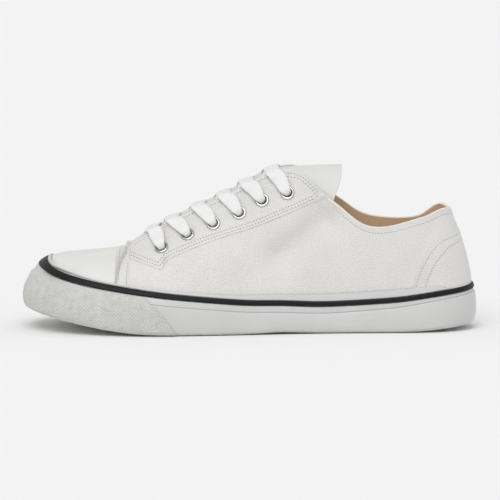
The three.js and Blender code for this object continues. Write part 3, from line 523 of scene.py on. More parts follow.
class UpperSurface:
    # points are given by column, from the toe tip, 0, along the outer side, round the heel and
    # back, and by share, from the feather line, 0, to the open edge, 1

    def __init__(self, seats):
        obj = copyOfNode("upper", "upper_measured")
        loops = sorted(map(startAtToe, edgeLoops(obj)), key=lambda loop: np.ptp(loop[:, 1]))
        self.foot = [loop for loop in loops if loop[:, 2].mean() < fitting["featherBelow"] * mm][-1]
        self.edge = [loop for loop in loops if loop[:, 2].mean() >= fitting["featherBelow"] * mm][-1]
        self.count = len(self.foot)
        for column, change in innerTopLine.items():
            self.edge[column, 2] += change * mm
        around = np.roll(self.foot, -1, axis=0) - np.roll(self.foot, 1, axis=0)
        around[:, 2] = 0
        outward = unit(np.stack([around[:, 1], -around[:, 0], np.zeros(self.count)], axis=1))
        chord = self.edge - self.foot
        along = unit(chord)
        self.lean = unit(outward - along * (outward * along).sum(axis=1, keepdims=True))
        self.fit(obj, seats, chord, outward)
        bpy.data.objects.remove(obj)

    def fit(self, obj, seats, chord, outward):
        # a smooth section through the corners that lie in each column's plane
        points, normals = pointsOf(obj), vertexNormals(obj)
        clear = np.ones(len(points), bool)
        for centre, _ in seats.values():
            clear &= np.linalg.norm(points - centre, axis=1) > fitting["eyeletClear"] * mm
        rows = []
        for k in range(self.count):
            from_ = points - self.foot[k]
            flat = unit(np.cross([0, 0, 1], chord[k]))
            share = from_ @ chord[k] / (chord[k] @ chord[k])
            height = from_ @ self.lean[k]
            near = np.abs(from_ @ flat) < fitting["halfPlane"] * mm
            facing = (normals @ self.lean[k] > 0.15) | (normals @ outward[k] > 0.5)
            chosen = clear & near & facing & (share > 0.02) & (share < 0.98)
            chosen &= (height > -1 * mm) & (height < fitting["highest"] * mm)
            basis = self.bernstein(share[chosen])
            rows.append(np.linalg.solve(basis.T @ basis + 1e-4 * np.eye(4), basis.T @ height[chosen]))
        bends = np.array(rows)
        between = (np.roll(bends, 1, axis=0) + np.roll(bends, -1, axis=0)) / 2
        worst = np.abs(bends - between).max(axis=1)
        for k in np.flatnonzero(worst > fitting["stray"] * mm):  # too few corners in that column's plane
            if worst[k] >= max(worst[k - 1], worst[(k + 1) % self.count]):
                bends[k] = between[k]
        self.bends = bends

    def bernstein(self, t):
        t = np.asarray(t)
        parts = ((5, 1, 4), (10, 2, 3), (10, 3, 2), (5, 4, 1))
        return np.stack([factor * t**a * (1 - t) ** b for factor, a, b in parts], axis=-1)

    def plain(self, column, share):
        column, share = np.broadcast_arrays(np.asarray(column, float), np.asarray(share, float))
        values = np.concatenate([self.foot, self.edge, self.lean, self.bends], axis=1)
        found = ringSpline(values, column.ravel() % self.count)
        t = share.ravel()
        foot, edge, lean, bends = found[:, :3], found[:, 3:6], found[:, 6:9], found[:, 9:]
        rise = (self.bernstein(t) * bends).sum(axis=1)[:, None]
        points = foot + (edge - foot) * t[:, None] + unit(lean) * rise
        return points.reshape(*column.shape, 3)

    def normals(self, column, share):
        step = 0.04
        column, share = np.asarray(column, float), np.asarray(share, float)
        high, low = np.minimum(share + step / 2, 1), np.maximum(share - step / 2, 0)
        up = self.plain(column, high) - self.plain(column, low)
        around = self.plain(column + step, share) - self.plain(column - step, share)
        return unit(np.cross(around, up))

    def points(self, column, share, lift=0.0):
        base = self.plain(column, share)
        normals = self.normals(column, share)
        return base + normals * (np.asarray(lift) + creaseField(base))[..., None]

    def search(self, column, wanted, measure):
        # the share at which a measure that grows along the section reaches a value
        column = np.asarray(column, float)
        low, high = np.zeros(column.shape), np.ones(column.shape)
        for _ in range(26):
            middle = (low + high) / 2
            below = measure(self.plain(column, middle)) < wanted
            low, high = np.where(below, middle, low), np.where(below, high, middle)
        return low

    def shareAtHeight(self, column, height):
        return self.search(column, height, lambda p: p[..., 2])

    def shareAtLength(self, column, x):
        return self.search(column, x, lambda p: p[..., 0])

    def place(self, side, fromHeel, height):
        # column and share of points seen from the side, in mm from the heel and mm high
        start = 0.0 if side == "lateral" else self.count / 2
        steps = start + np.linspace(0, self.count / 2, 109), np.linspace(0, 1, 81)
        columns, shares = np.meshgrid(*steps, indexing="ij")
        table = self.plain(columns, shares)[..., [0, 2]].reshape(-1, 2)
        wanted = np.stack([heelBack - np.asarray(fromHeel) * mm, np.asarray(height) * mm], axis=-1)
        nearest = np.array([np.argmin(((table - point) ** 2).sum(axis=1)) for point in wanted])
        column, share = columns.ravel()[nearest], shares.ravel()[nearest]
        step = 0.002
        for _ in range(4):
            here = self.plain(column, share)[:, [0, 2]]
            across = (self.plain(column + step, share)[:, [0, 2]] - here) / step
            up = (self.plain(column, share - step)[:, [0, 2]] - here) / -step
            miss = wanted - here
            size = across[:, 0] * up[:, 1] - across[:, 1] * up[:, 0]
            size = np.where(np.abs(size) < 1e-7, 1e9, size)
            column = column + np.clip((miss[:, 0] * up[:, 1] - miss[:, 1] * up[:, 0]) / size, -0.3, 0.3)
            share = share + np.clip((across[:, 0] * miss[:, 1] - across[:, 1] * miss[:, 0]) / size, -0.05, 0.05)
            share = np.clip(share, 0.0, 1.0)
        return column, share

    def below(self, column, depth):
        # the share that lies a depth, in mm, below the open edge
        shares = np.linspace(0.6, 1, 21)[None, :]
        section = self.plain(np.asarray(column, float)[:, None], shares)
        steps = np.linalg.norm(np.diff(section, axis=1), axis=2)
        length = np.cumsum(steps[:, ::-1], axis=1)[:, ::-1] / mm
        return np.array([np.interp(-depth, -np.append(row, 0), shares[0]) for row in length])


creases = [
    # soft troughs and ridges in the cloth: the sides they are on, both ends in mm from the heel and
    # mm high, width and depth in mm
    ("lateral", (98, 71), (124, 50), 9.4, -5.6),
    ("both", (271, 49), (264, 51), 5.5, 1.5),
    ("both", (12, 34), (14, 60), 15, 2.0),
    ("lateral", (118, 52), (145, 40), 10, -1.0),
    ("lateral", (52, 44), (46, 52), 13, 0.8),
    ("lateral", (27, 70), (36, 50), 5, -0.9),
    ("lateral", (84, 66), (96, 40), 10, 0.7),
    ("lateral", (150, 50), (175, 40), 8, 0.5),
    ("medial", (101, 72), (124, 54), 12, -1.2),
    ("medial", (50, 46), (46, 54), 13, 0.7),
    ("medial", (28, 68), (38, 48), 5, -0.8),
]


def creaseField(points):
    fromHeel = (heelBack - points[..., 0]) / mm
    height = points[..., 2] / mm
    outer = 1 / (1 + np.exp(points[..., 1] / (4 * mm)))  # how much a place is on the outer side
    shares = {"lateral": outer, "medial": 1 - outer, "both": 1.0}
    total = np.zeros(fromHeel.shape)
    for side, (a, b), (c, d), width, depth in creases:
        t = ((fromHeel - a) * (c - a) + (height - b) * (d - b)) / ((c - a) ** 2 + (d - b) ** 2)
        t = np.clip(t, 0, 1)
        away = (fromHeel - a - t * (c - a)) ** 2 + (height - b - t * (d - b)) ** 2
        total += shares[side] * depth * np.exp(-away / width**2)
    return total * mm


seats = eyeletSeats()
upper = UpperSurface(seats)
print("upper surface:", upper.count, "columns")


# Sheets of the upper: wall, lining and overlays, with their seams pressed in

wall = {"canvas": 1.15, "lining": 0.8}  # thicknesses, mm
lift = {"cap": 0.2, "strip": 0.45, "eyestay": 0.6, "counter": 0.4}  # tops of the overlays, mm over the canvas
groove = {"depth": 0.17, "width": 0.55}
eyeletHole = 3.05

# outlines and seams seen from the side: mm from the heel, mm high
eyestayOutline = [(222.4, 47.2), (216, 45.3), (210.2, 43.7), (204, 41.9), (200.6, 41.1), (199.2, 42.0),
                  (195.3, 47.0), (182.5, 52.8), (168.8, 58.1), (156, 62.4), (142.8, 66.5), (125.5, 73.4),
                  (107.4, 81.3), (96.6, 85.8)]
eyestaySeam = [(220.2, 48.2), (210.3, 45.4), (202.2, 43.2), (200.4, 43.9), (195.7, 48.8), (182.8, 54.4),
               (169.3, 59.7), (156, 63.9), (142.7, 68.1), (125.9, 75.0), (108.1, 82.6), (103.5, 84.6)]
counterOutline = [(42.6, 18.0), (42.2, 28.0), (39.4, 37.8), (36.3, 44.4), (31.2, 53.3), (24.6, 60.2)]
counterSeams = ([(40.6, 22.0), (40.0, 29.5), (37.6, 37.4), (34.5, 43.7), (29.5, 52.0), (23.6, 57.8)],
                [(34.6, 22.0), (34.1, 29.7), (31.2, 37.5), (27.9, 44.0), (22.5, 51.2), (18.5, 54.4)])
counterTops = (63.2, 61.0, 57.4)  # the outline and the two seams, where they cross the heel
capLine, stripSeam = 229.4, 227.0  # mm from the heel
# columns of the surface, on the outer side: at the throat's front corner, and where throat and collar meet
throatCorner, collarFront = 7.0, 17.0
# columns closer together near a sheet's ends
fineEnds = (0.001, 0.003, 0.006, 0.01)


def denseLine(points, step=0.5):
    return smoothPath(points, max(8, int(pathLength(np.asarray(points, float)) / step)))


def sideOf(side, column):
    return column if side == "lateral" else upper.count - column


def offsetLine(line, distance):
    # moves a line sideways in the side view
    ahead = unit(np.gradient(line, axis=0))
    return line + distance * np.stack([-ahead[:, 1], ahead[:, 0]], axis=1)


def seamPath(column, share, height, step=0.4):
    # an evenly stepped path over the cloth, with its outward normals
    rough = upper.points(column, share)
    count = max(4, int(pathLength(rough) / (step * mm)))
    length = lengthsAlong(rough)
    wanted = np.linspace(0, length[-1], count)
    column, share = np.interp(wanted, length, column), np.interp(wanted, length, share)
    points, normals = upper.points(column, share, height * mm), upper.normals(column, share)
    return {"points": points, "normals": normals, "flat": upper.plain(column, share)}


def counterPath(line, top):
    # round the heel from one side to the other, level across the back
    line = denseLine(line)
    column, share = upper.place("lateral", line[:, 0], line[:, 1])
    back = np.linspace(column[-1] + 0.5, upper.count / 2, 12)
    ease = np.sin(np.linspace(0.15, 1, 12) * math.pi / 2)
    heights = (line[-1, 1] + (top - line[-1, 1]) * ease) * mm
    column = np.concatenate([column, back])
    share = np.concatenate([share, upper.shareAtHeight(back, heights)])
    column = np.concatenate([column, upper.count - column[-2::-1]])
    return column, np.concatenate([share, share[-2::-1]])


def crossPath(fromHeel, reach, count=400):
    # straight across the forefoot, from one side to the other
    column = np.sin(np.linspace(-math.pi / 2, math.pi / 2, count)) * reach
    return column, upper.shareAtLength(column, heelBack - fromHeel * mm)


def makeSeams():
    # every row of stitching on the upper, by the piece that carries it
    rows = {"strip": [], "eyestay_lateral": [], "eyestay_medial": [], "counter": [], "canvas": []}
    rows["strip"].append(seamPath(*crossPath(stripSeam, 6.55), lift["strip"]))
    for side in sideNames:
        front = np.linspace(0.3, 0.71, 60)
        rows["strip"].append(seamPath(np.full(60, sideOf(side, throatCorner + 0.04)), front, lift["strip"]))
        outer = denseLine(eyestaySeam)
        places = [upper.place(side, line[:, 0], line[:, 1]) for line in (outer, offsetLine(outer, -1.9))]
        places.append((np.full(40, sideOf(side, throatCorner + 0.16)), np.linspace(0.77, 0.955, 40)))
        # along the throat's edge, then two rows round the top corner: columns, count, mm below the edge
        for start, stop, count, depth in ((7.3, 15.0, 200, 2.2), (15.1, 16.9, 100, 2.0), (15.1, 16.9, 100, 4.4)):
            columns = sideOf(side, np.linspace(start, stop, count))
            places.append((columns, upper.below(columns, depth)))
        rows["eyestay_" + side] += [seamPath(column, share, lift["eyestay"]) for column, share in places]
    for line, top in zip(counterSeams, counterTops[1:]):
        rows["counter"].append(seamPath(*counterPath(line, top), lift["counter"]))
    collar = np.linspace(collarFront + 0.5, upper.count - collarFront - 0.5, 500)
    rows["canvas"].append(seamPath(collar, upper.below(collar, 3.4), 0))
    return rows


seams = makeSeams()


def pressed(flat, rows):
    # how far the cloth is drawn in along its rows of stitching
    away = np.full(flat.shape[:-1], 1.0)
    for row in rows:
        line = row["flat"]
        low, high = line.min(axis=0) - 2 * mm, line.max(axis=0) + 2 * mm
        near = np.all((flat > low) & (flat < high), axis=-1)
        chosen = flat[near]
        best = np.full(len(chosen), 1.0)
        for start in range(0, len(line), 60):
            gaps = chosen[:, None, :] - line[None, start : start + 60]
            best = np.minimum(best, np.sqrt((gaps**2).sum(axis=2)).min(axis=1))
        away[near] = np.minimum(away[near], best)
    return groove["depth"] * mm * np.exp(-((away / (groove["width"] * mm)) ** 2))


def findSeat(side, number):
    # column and share of an eyelet on the smooth upper
    centre = seats[(side, number)][0]
    target = centre.copy()
    for _ in range(4):
        column, share = upper.place(side, [(heelBack - target[0]) / mm], [target[2] / mm])
        point, normal = upper.plain(column, share)[0], upper.normals(column, share)[0]
        target = centre - normal * ((centre - point) @ normal)
    base = upper.points(column, share, lift["eyestay"] * mm)[0]
    return {"column": float(column[0]), "share": float(share[0]), "base": base, "normal": normal}


eyeletSpots = {key: findSeat(*key) for key in seats}


def cutHoles(obj, radius, reach=6, rimWidth=1.6):
    # opens the sheet under each eyelet and rounds the edge of the hole
    mesh = obj.data
    centres = readAll(mesh.polygons, "center")
    hit = np.zeros(len(centres), bool)
    for spot in eyeletSpots.values():
        away = centres - spot["base"]
        along = away @ spot["normal"]
        flat = np.linalg.norm(away - along[:, None] * spot["normal"], axis=1)
        hit |= (flat < radius * mm) & (np.abs(along) < reach * mm)
    selectOnly(obj)
    bpy.ops.object.mode_set(mode="EDIT")
    bpy.ops.mesh.select_mode(type="FACE")
    bpy.ops.mesh.select_all(action="DESELECT")
    bpy.ops.object.mode_set(mode="OBJECT")
    mesh.polygons.foreach_set("select", hit)
    bpy.ops.object.mode_set(mode="EDIT")
    bpy.ops.mesh.delete(type="FACE")
    bpy.ops.mesh.select_mode(type="VERT")
    bpy.ops.object.mode_set(mode="OBJECT")
    uses = np.bincount(readAll(mesh.loops, "edge_index", 1, int), minlength=len(mesh.edges))
    rim = np.unique(readAll(mesh.edges, "vertices", 2, int)[uses == 1])
    points = pointsOf(obj)
    for spot in eyeletSpots.values():
        away = points[rim] - spot["base"]
        along = (away @ spot["normal"])[:, None] * spot["normal"]
        flat = away - along
        near = np.linalg.norm(flat, axis=1) < (radius + rimWidth) * mm
        near &= np.linalg.norm(along, axis=1) < reach * mm
        points[rim[near]] = (spot["base"] + along + unit(flat) * radius * mm)[near]
    movePoints(obj, points)


def clothSheet(name, column, share, height, thickness, rows=(), closed=False, holes=False, bevel=0.22):
    # an overlay or wall: its top stands a height over the canvas, its body hangs below that
    flat = upper.plain(column, share)
    points = upper.points(column, share, height * mm - pressed(flat, rows))
    obj = gridPiece(name, points, closed=closed)
    if holes:
        cutHoles(obj, eyeletHole)
    addModifier(obj, "SOLIDIFY", thickness=thickness * mm, offset=-1)
    if bevel:
        addModifier(obj, "BEVEL", width=bevel * mm, segments=2, limit_method="ANGLE", angle_limit=math.radians(50))
    smoothShading(obj, 50)
    return obj


def spread(low, high, count, ends=(0.004, 0.012, 0.025, 0.045)):
    # values from low to high, closer together near both ends
    inner = np.linspace(ends[-1], 1 - ends[-1], count)
    t = np.concatenate([[0], ends[:-1], inner, 1 - np.array(ends[-2::-1]), [1]])
    return low + (high - low) * t


def makeUpper():
    fromToe = np.array([0, 4.2, 5.4, 8.3, 9.6, 27])
    liningTop = np.array([0.94, 0.94, 0.76, 0.76, 0.993, 0.993])  # lower at the front of the throat
    for name, across, up, height, thickness, material, slot in (
        ("canvas", 480, 72, 0, wall["canvas"], canvas, "canvas"),
        ("lining", 240, 36, -wall["canvas"] - 0.02, wall["lining"], liningCloth, "lining_fabric"),
    ):
        steps = np.linspace(0, upper.count, across + 1), np.linspace(0, 1, up + 1)
        columns, shares = np.meshgrid(*steps, indexing="ij")
        if name == "lining":
            shares = shares * np.interp(np.minimum(columns, upper.count - columns), fromToe, liningTop)
        sheet = clothSheet("upper_" + name, columns, shares, height, thickness, seams.get(name, ()), True, True, 0)
        finishPiece(sheet, material, slot, "upper")


def patch(columns, low, high, count):
    t = spread(0, 1, count)[None, :]
    columns = columns[:, None] + 0 * t
    return columns, low[:, None] + (high - low)[:, None] * t


def makeOverlays():
    reach = 6.42
    columns = np.sin(np.linspace(-1, 1, 241) * math.pi / 2) * reach
    high = upper.shareAtLength(columns, heelBack - (capLine - 1.5) * mm)
    low = np.minimum(upper.shareAtHeight(columns, 22 * mm), high - 0.02)
    cap = clothSheet("toe_cap_coated", *patch(columns, low, high, 60), lift["cap"], 0.5)
    finishPiece(cap, capCoating, "cap_coating", "toe_cap")

    columns = spread(-throatCorner - 0.13, throatCorner + 0.13, 240, fineEnds)
    low = upper.shareAtLength(np.clip(columns, -6.5, 6.5), heelBack - capLine * mm)
    low = np.where(np.abs(columns) > 6.5, 0.12, np.maximum(low, 0.12))
    strip = clothSheet("vamp_strip", *patch(columns, low, 1 + 0 * low, 34), lift["strip"], 0.7, seams["strip"])
    finishPiece(strip, canvas, "canvas", "toe_cap")

    outline = denseLine(eyestayOutline, 0.25)
    for side in sideNames:
        columns = spread(throatCorner + 0.02, collarFront + 0.1, 216, fineEnds)
        x = upper.plain(sideOf(side, columns), 0.7)[:, 0]
        heights = np.interp(-(heelBack - x) / mm, -outline[:, 0], outline[:, 1])
        low = upper.shareAtHeight(sideOf(side, columns), heights * mm)
        if side == "medial":
            columns, low = columns[::-1], low[::-1]
        sheet = patch(sideOf(side, columns), low, 1 + 0 * low, 52)
        rows = seams["eyestay_" + side]
        stay = clothSheet("eyestay_cloth_" + side, *sheet, lift["eyestay"], 0.85, rows, holes=True)
        finishPiece(stay, canvas, "canvas", "eyestay_" + side)

    path = counterPath(counterOutline, counterTops[0])
    order = np.argsort(path[0])
    columns = spread(path[0].min(), path[0].max(), 220, fineEnds)
    high = np.interp(columns, path[0][order], path[1][order])
    sheet = patch(columns, 0.1 + 0 * high, high, 50)
    counter = clothSheet("heel_counter_cloth", *sheet, lift["counter"], 0.65, seams["counter"])
    finishPiece(counter, canvas, "canvas", "heel_counter")


makeUpper()
makeOverlays()
print("upper and overlays")


# Tubes and straps: sections swept along a path


def sweep(name, points, normals, widths, heights, sides, power=2.0):
    # a rounded section along a path; its flat side faces the normals
    ahead = unit(np.gradient(points, axis=0))
    across = unit(np.cross(ahead, normals))
    up = np.cross(across, ahead)
    angle = np.linspace(0, 2 * math.pi, sides + 1)
    ring = points[:, None] + np.zeros((1, sides + 1, 1))
    for direction, sizes, wave in ((across, widths, np.cos(angle)), (up, heights, np.sin(angle))):
        reach = np.sign(wave) * np.abs(wave) ** (2 / power)
        sizes = np.broadcast_to(sizes, len(points)) * mm / 2
        ring += direction[:, None] * sizes[:, None, None] * reach[None, :, None]
    ring[:, -1] = ring[:, 0]
    obj = gridPiece(name, ring, closed=True)
    inEditMode(obj, lambda: bpy.ops.mesh.fill_holes(sides=0))
    return obj


def joined(name, parts):
    selectOnly(*parts)
    bpy.ops.object.join()
    obj = bpy.context.object
    obj.name = obj.data.name = name
    return obj


def edgeTube(name, start, stop, count, depth, width, height):
    columns = np.linspace(start, stop, count)
    edge = upper.points(columns, np.ones(count))
    below = upper.points(columns, np.full(count, 0.97))
    normals = upper.normals(columns, np.full(count, 0.995))
    return sweep(name, edge - normals * depth * mm, unit(edge - below), width, height, 14)


def makeEdges():
    piping = edgeTube("collar_piping", collarFront, upper.count - collarFront, 420, 0.95, 2.3, 1.5)
    smoothShading(piping)
    finishPiece(piping, pipingCloth, "canvas", "upper")
    start, stop, front = throatCorner + 0.05, collarFront + 0.3, throatCorner - 0.03
    turned = [
        edgeTube("turned_lateral", start, stop, 260, 0.72, 2.8, 1.2),
        edgeTube("turned_medial", upper.count - stop, upper.count - start, 260, 0.72, 2.8, 1.2),
        edgeTube("turned_front", -front, front, 200, 0.8, 2.8, 1.2),
    ]
    edge = joined("throat_edge", turned)
    smoothShading(edge)
    finishPiece(edge, canvas, "canvas", "upper")


makeEdges()
print("edges")


# Rubber and the tongue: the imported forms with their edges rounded


def softCopy(node, name, width, levels):
    obj = copyOfNode(node, name)
    addModifier(obj, "BEVEL", width=width * mm, segments=2, limit_method="ANGLE", angle_limit=math.radians(28))
    if levels:
        addModifier(obj, "SUBSURF", levels=levels, render_levels=levels)
    smoothShading(obj, 50)
    return obj


toeCentre = (-0.085, 0.003)
# how far the rubber at the toe goes out: heights in mm, then distances in mm
toeShift = ([8, 14, 20, 26, 31, 35, 37.5, 39.5, 41.5], [0, 1.3, 1.3, 0.8, -0.4, -1.4, -1.6, -0.2, 1.2])
beadShift = ([22, 30, 45], [0, 2.1, 2.1])
bandShift = ([22, 26, 31, 35, 37.5, 39.5, 41.5, 45], [0, 0.2, -0.9, -1.9, -2.0, -0.4, 1.9, 2.1])


def shapeToe(obj, shift):
    points = pointsOf(obj)
    away = points[:, :2] - toeCentre
    ease = np.clip(-away[:, 0] / 0.05, 0, 1)
    ease = ease**2 * (3 - 2 * ease)
    points[:, :2] += unit(away) * (ease * np.interp(points[:, 2] / mm, *shift) * mm)[:, None]
    movePoints(obj, points)


def outlineLength(points):
    # how far along the sole's outline each point lies from the toe, to either side
    dense = evenPath(np.concatenate([upper.foot, upper.foot[:1]])[:, :2], 1400)
    total = pathLength(dense)
    step = total / 1399
    dense = dense[:-1]
    found = []
    for start in range(0, len(points), 2000):
        gaps = points[start : start + 2000, None, :2] - dense[None]
        nearest = (gaps**2).sum(axis=2).argmin(axis=1)
        ahead = unit(np.roll(dense, -1, axis=0) - dense)[nearest]
        found.append(nearest * step + (gaps[np.arange(len(nearest)), nearest] * ahead).sum(axis=1))
    along = np.concatenate(found)
    return np.where(along > total / 2, along - total, along)


bumperRelief = {"pitch": 2.33, "height": 0.34, "levels": 3}


def addRelief(obj):
    # rows of small pyramids, set on the diagonal
    points, normals = pointsOf(obj), vertexNormals(obj)
    along, up = outlineLength(points) / mm, points[:, 2] / mm
    a = (along + up) / bumperRelief["pitch"] / math.sqrt(2)
    b = (along - up) / bumperRelief["pitch"] / math.sqrt(2)
    ramp = np.minimum(1 - 2 * np.abs(a - np.round(a)), 1 - 2 * np.abs(b - np.round(b)))
    facing = np.clip(1.4 - np.abs(normals[:, 2]) * 2.2, 0, 1)
    outward = (normals[:, :2] * unit(points[:, :2] - toeCentre)).sum(axis=1) > 0
    movePoints(obj, points + normals * (ramp * facing * outward * bumperRelief["height"] * mm)[:, None])


def addLengthMap(obj):
    # a UV map in metres: along the outline of the sole, and up
    points = pointsOf(obj)
    setMap(obj, np.stack([outlineLength(points), points[:, 2]], axis=1))


def makeRubber():
    finishPiece(softCopy("outsole", "outsole_tread", 0.35, 0), treadRubber, "tread_rubber", "outsole")
    side = softCopy("sole_sidewall", "sidewall_rubber", 0.5, 2)
    band = softCopy("foxing_band", "band_rubber", 0.3, 2)
    bead = softCopy("foxing_stripe", "stripe_bead", 0.3, 2)
    wrap = softCopy("toe_bumper", "bumper_wrap", 0.3, bumperRelief["levels"])
    movePoints(side, pointsOf(side) + vertexNormals(side) * 0.3 * mm)  # closes the hairline under the band
    for obj, shift in ((side, toeShift), (wrap, toeShift), (band, bandShift), (bead, beadShift)):
        shapeToe(obj, shift)
    addLengthMap(wrap)
    addRelief(wrap)
    for obj, material, slot, node in (
        (side, wallRubber, "wall_rubber", "sole_sidewall"),
        (band, wallRubber, "wall_rubber", "foxing_band"),
        (bead, stripeRubber, "stripe_rubber", "foxing_stripe"),
        (wrap, bumperRubber, "bumper_rubber", "toe_bumper"),
    ):
        finishPiece(obj, material, slot, node)
    finishPiece(softCopy("insole", "insole_pad", 0.8, 1), liningCloth, "lining_fabric", "insole")
    tongue = softCopy("tongue", "tongue_cloth", 0.5, 2)
    points = pointsOf(tongue)
    points[:, 1] += np.sign(points[:, 1]) * creaseField(points)  # keeps clear of the hollow in the side
    movePoints(tongue, points)
    finishPiece(tongue, canvasTongue, "canvas", "tongue")
    return tongue


tongueShape = makeRubber()
print("rubber, insole and tongue")


# Eyelets: one lathed ring and barrel, set at each place

# radius and height of the ring's section, mm
eyeletProfile = [(4.5, 0.02), (4.5, 0.3), (4.35, 0.62), (4.0, 0.88), (3.6, 0.95), (3.15, 0.85), (2.8, 0.55),
                 (2.6, 0.1), (2.52, -0.8), (2.52, -2.9), (2.7, -3.25), (3.2, -3.4), (3.8, -3.3), (4.0, -3.0),
                 (3.5, -2.95), (3.0, -2.85), (2.78, -2.4), (2.76, -0.9), (2.85, -0.1), (3.3, 0.15), (4.0, 0.05)]


def makeEyelets():
    profile = np.array(eyeletProfile + eyeletProfile[:1])[::-1] * mm
    angle = np.linspace(0, 2 * math.pi, 41)[:, None]
    radius, height = profile.T
    ring = np.stack([radius * np.cos(angle), radius * np.sin(angle), height + 0 * angle], axis=2)
    ring[-1] = ring[0]
    model = gridPiece("eyelet_ring", ring, closed=True)
    inEditMode(model, facesOut)
    addModifier(model, "SUBSURF", levels=1, render_levels=1)
    smoothShading(model, 70)
    shape = pointsOf(model)
    for (side, number), spot in eyeletSpots.items():
        eyelet = model.copy()
        eyelet.data = model.data.copy()
        eyelet.name = eyelet.data.name = f"ring_{side}_{number}"
        bpy.context.scene.collection.objects.link(eyelet)
        turn = np.array(Vector(spot["normal"]).to_track_quat("Z", "Y").to_matrix())
        movePoints(eyelet, shape @ turn.T + spot["base"])
        finishPiece(eyelet, nickel, "nickel", f"eyelet_{side}_{number}")
    bpy.data.objects.remove(model)


makeEyelets()
print("eyelets")


# Laces: one flat lace in lengths, over the eyestays, into the eyelets and along the inside

lace = {
    "width": 9.4,
    "thickness": 1.9,
    "throatWidth": 4.5,  # where it gathers in the eyelet
    "throatThickness": 3.0,
    "exitForward": 13.0,  # where the next length comes out, in mm ahead of its eyelet
    "edgeForward": 8.6,  # where it goes over the throat's edge, in mm ahead of its eyelet
    "barBow": 7.0,
    "over": 2.5,  # height of the upper and lower lengths over the tongue where they cross
    "under": 0.8,
    "innerDepth": 1.95 + 1.3,  # under the canvas, inside the lining
    "columnWidth": 12.2,  # of the surface's columns by the top eyelets, mm
}
worldUp = np.array([0.0, 0.0, 1.0])


packedTongue = treeOf(cadNodes["tongue"].data)


def overTongue(x, y, height):
    top = packedTongue.ray_cast(Vector((x, y, 0.2)), Vector((0, 0, -1)))[0].z
    return np.array([x, y, top + height * mm])


def edgeColumn(side, x):
    # the column whose open edge stands at x
    columns = np.linspace(6.5, 20, 400)
    lengths = upper.plain(sideOf(side, columns), np.ones(400))[:, 0]
    return sideOf(side, float(np.interp(x, lengths, columns)))


def onCloth(column, share, height):
    at, on = np.array([float(column)]), np.array([float(share)])
    return upper.points(at, on, height * mm)[0], upper.normals(at, on)[0]


def entry(side, number, forward):
    # the visible end of a length: from the throat edge over the eyestay into the eyelet
    spot = eyeletSpots[(side, number)]
    column = edgeColumn(side, spot["base"][0] - forward * mm)
    edge, edgeNormal = onCloth(column, 0.997, lift["eyestay"] + 1.0)
    inward = np.array([0.0, 1.0 if side == "lateral" else -1.0, 0.0])
    edgeNormal = unit(edgeNormal * 0.75 + worldUp * 0.6 + inward * 0.15)
    middleColumn = 0.55 * column + 0.45 * spot["column"]
    middle, middleNormal = onCloth(middleColumn, (0.997 + spot["share"]) / 2 + 0.02, lift["eyestay"] + 1.3)
    base, normal = spot["base"], spot["normal"]
    toEdge = edge - base
    toEdge = unit(toEdge - normal * (toEdge @ normal))
    w, t = lace["width"], lace["thickness"]
    near, small, thick = 0.76 * w, lace["throatWidth"], lace["throatThickness"]
    return [  # each row: place, flat side, width, thickness
        (edge, edgeNormal, w, t),
        (middle, middleNormal, 0.97 * w, t * 1.06),
        (base + normal * 2.7 * mm + toEdge * 2.9 * mm, unit(normal * 0.95 - toEdge * 0.2), near, t * 1.15),
        (base + normal * 1.15 * mm + toEdge * 0.5 * mm, unit(normal * 0.5 - toEdge * 0.9), small * 1.12, thick),
        (base - normal * 1.4 * mm + toEdge * 0.1 * mm, -toEdge, small, thick * 0.95),
        (base - normal * 3.6 * mm + toEdge * 0.5 * mm, unit(-toEdge - normal * 0.3), small, thick * 0.9),
    ]


def hiddenRun(side, number):
    # inside: from the eyelet to where the next length comes out under the throat edge
    spot = eyeletSpots[(side, number)]
    depth = -lace["innerDepth"] - 0.05
    w, t = lace["width"] * 0.8, lace["thickness"] * 0.75
    rows = []
    if number == 6:  # the hidden ends: mm back from the eyelet, and shares down
        for step, (back, share) in enumerate(((2.5, -0.03), (7.0, -0.075), (12.0, -0.13), (15.0, -0.19))):
            column = spot["column"] + (back if side == "lateral" else -back) / lace["columnWidth"]
            point, normal = onCloth(column, spot["share"] + share, depth - 0.9 - 0.3 * step)
            rows.append((point, -normal, w * (0.75 if step == 0 else 0.95), t))
        return rows
    column = edgeColumn(side, eyeletSpots[(side, number + 1)]["base"][0] - lace["exitForward"] * mm)
    for blend, share in ((0.35, 0.25), (0.75, 0.62)):
        at = spot["column"] * (1 - blend) + column * blend
        on = spot["share"] * (1 - share) + 0.985 * share
        point, normal = onCloth(at, on, depth - 0.8)
        rows.append((point, -normal, w * (0.8 + 0.2 * blend), t))
    return rows


def exitRows(side, number):
    # where the length for the other side's eyelet comes out from under the throat edge
    column = edgeColumn(side, eyeletSpots[(side, number)]["base"][0] - lace["exitForward"] * mm)
    inner, innerNormal = onCloth(column, 0.93, -lace["innerDepth"] - 0.5)
    edge, edgeNormal = onCloth(column, 0.995, -lace["innerDepth"] - 0.1)
    w, t = lace["width"] * 0.9, lace["thickness"] * 0.8
    return [(inner, innerNormal, w * 0.95, t), (edge, unit(edgeNormal + worldUp * 0.5), w, t)]


def laceLength(name, rows):
    table = np.array([np.concatenate([point, normal, [w, t]]) for point, normal, w, t in rows])
    table[:, 6:] *= mm  # so that an even step goes by place
    path = smoothPath(table, max(24, int(pathLength(table[:, :3]) / (0.75 * mm))))
    return sweep(name, path[:, :3], unit(path[:, 3:6]), path[:, 6] / mm, path[:, 7] / mm, 20, 2.9)


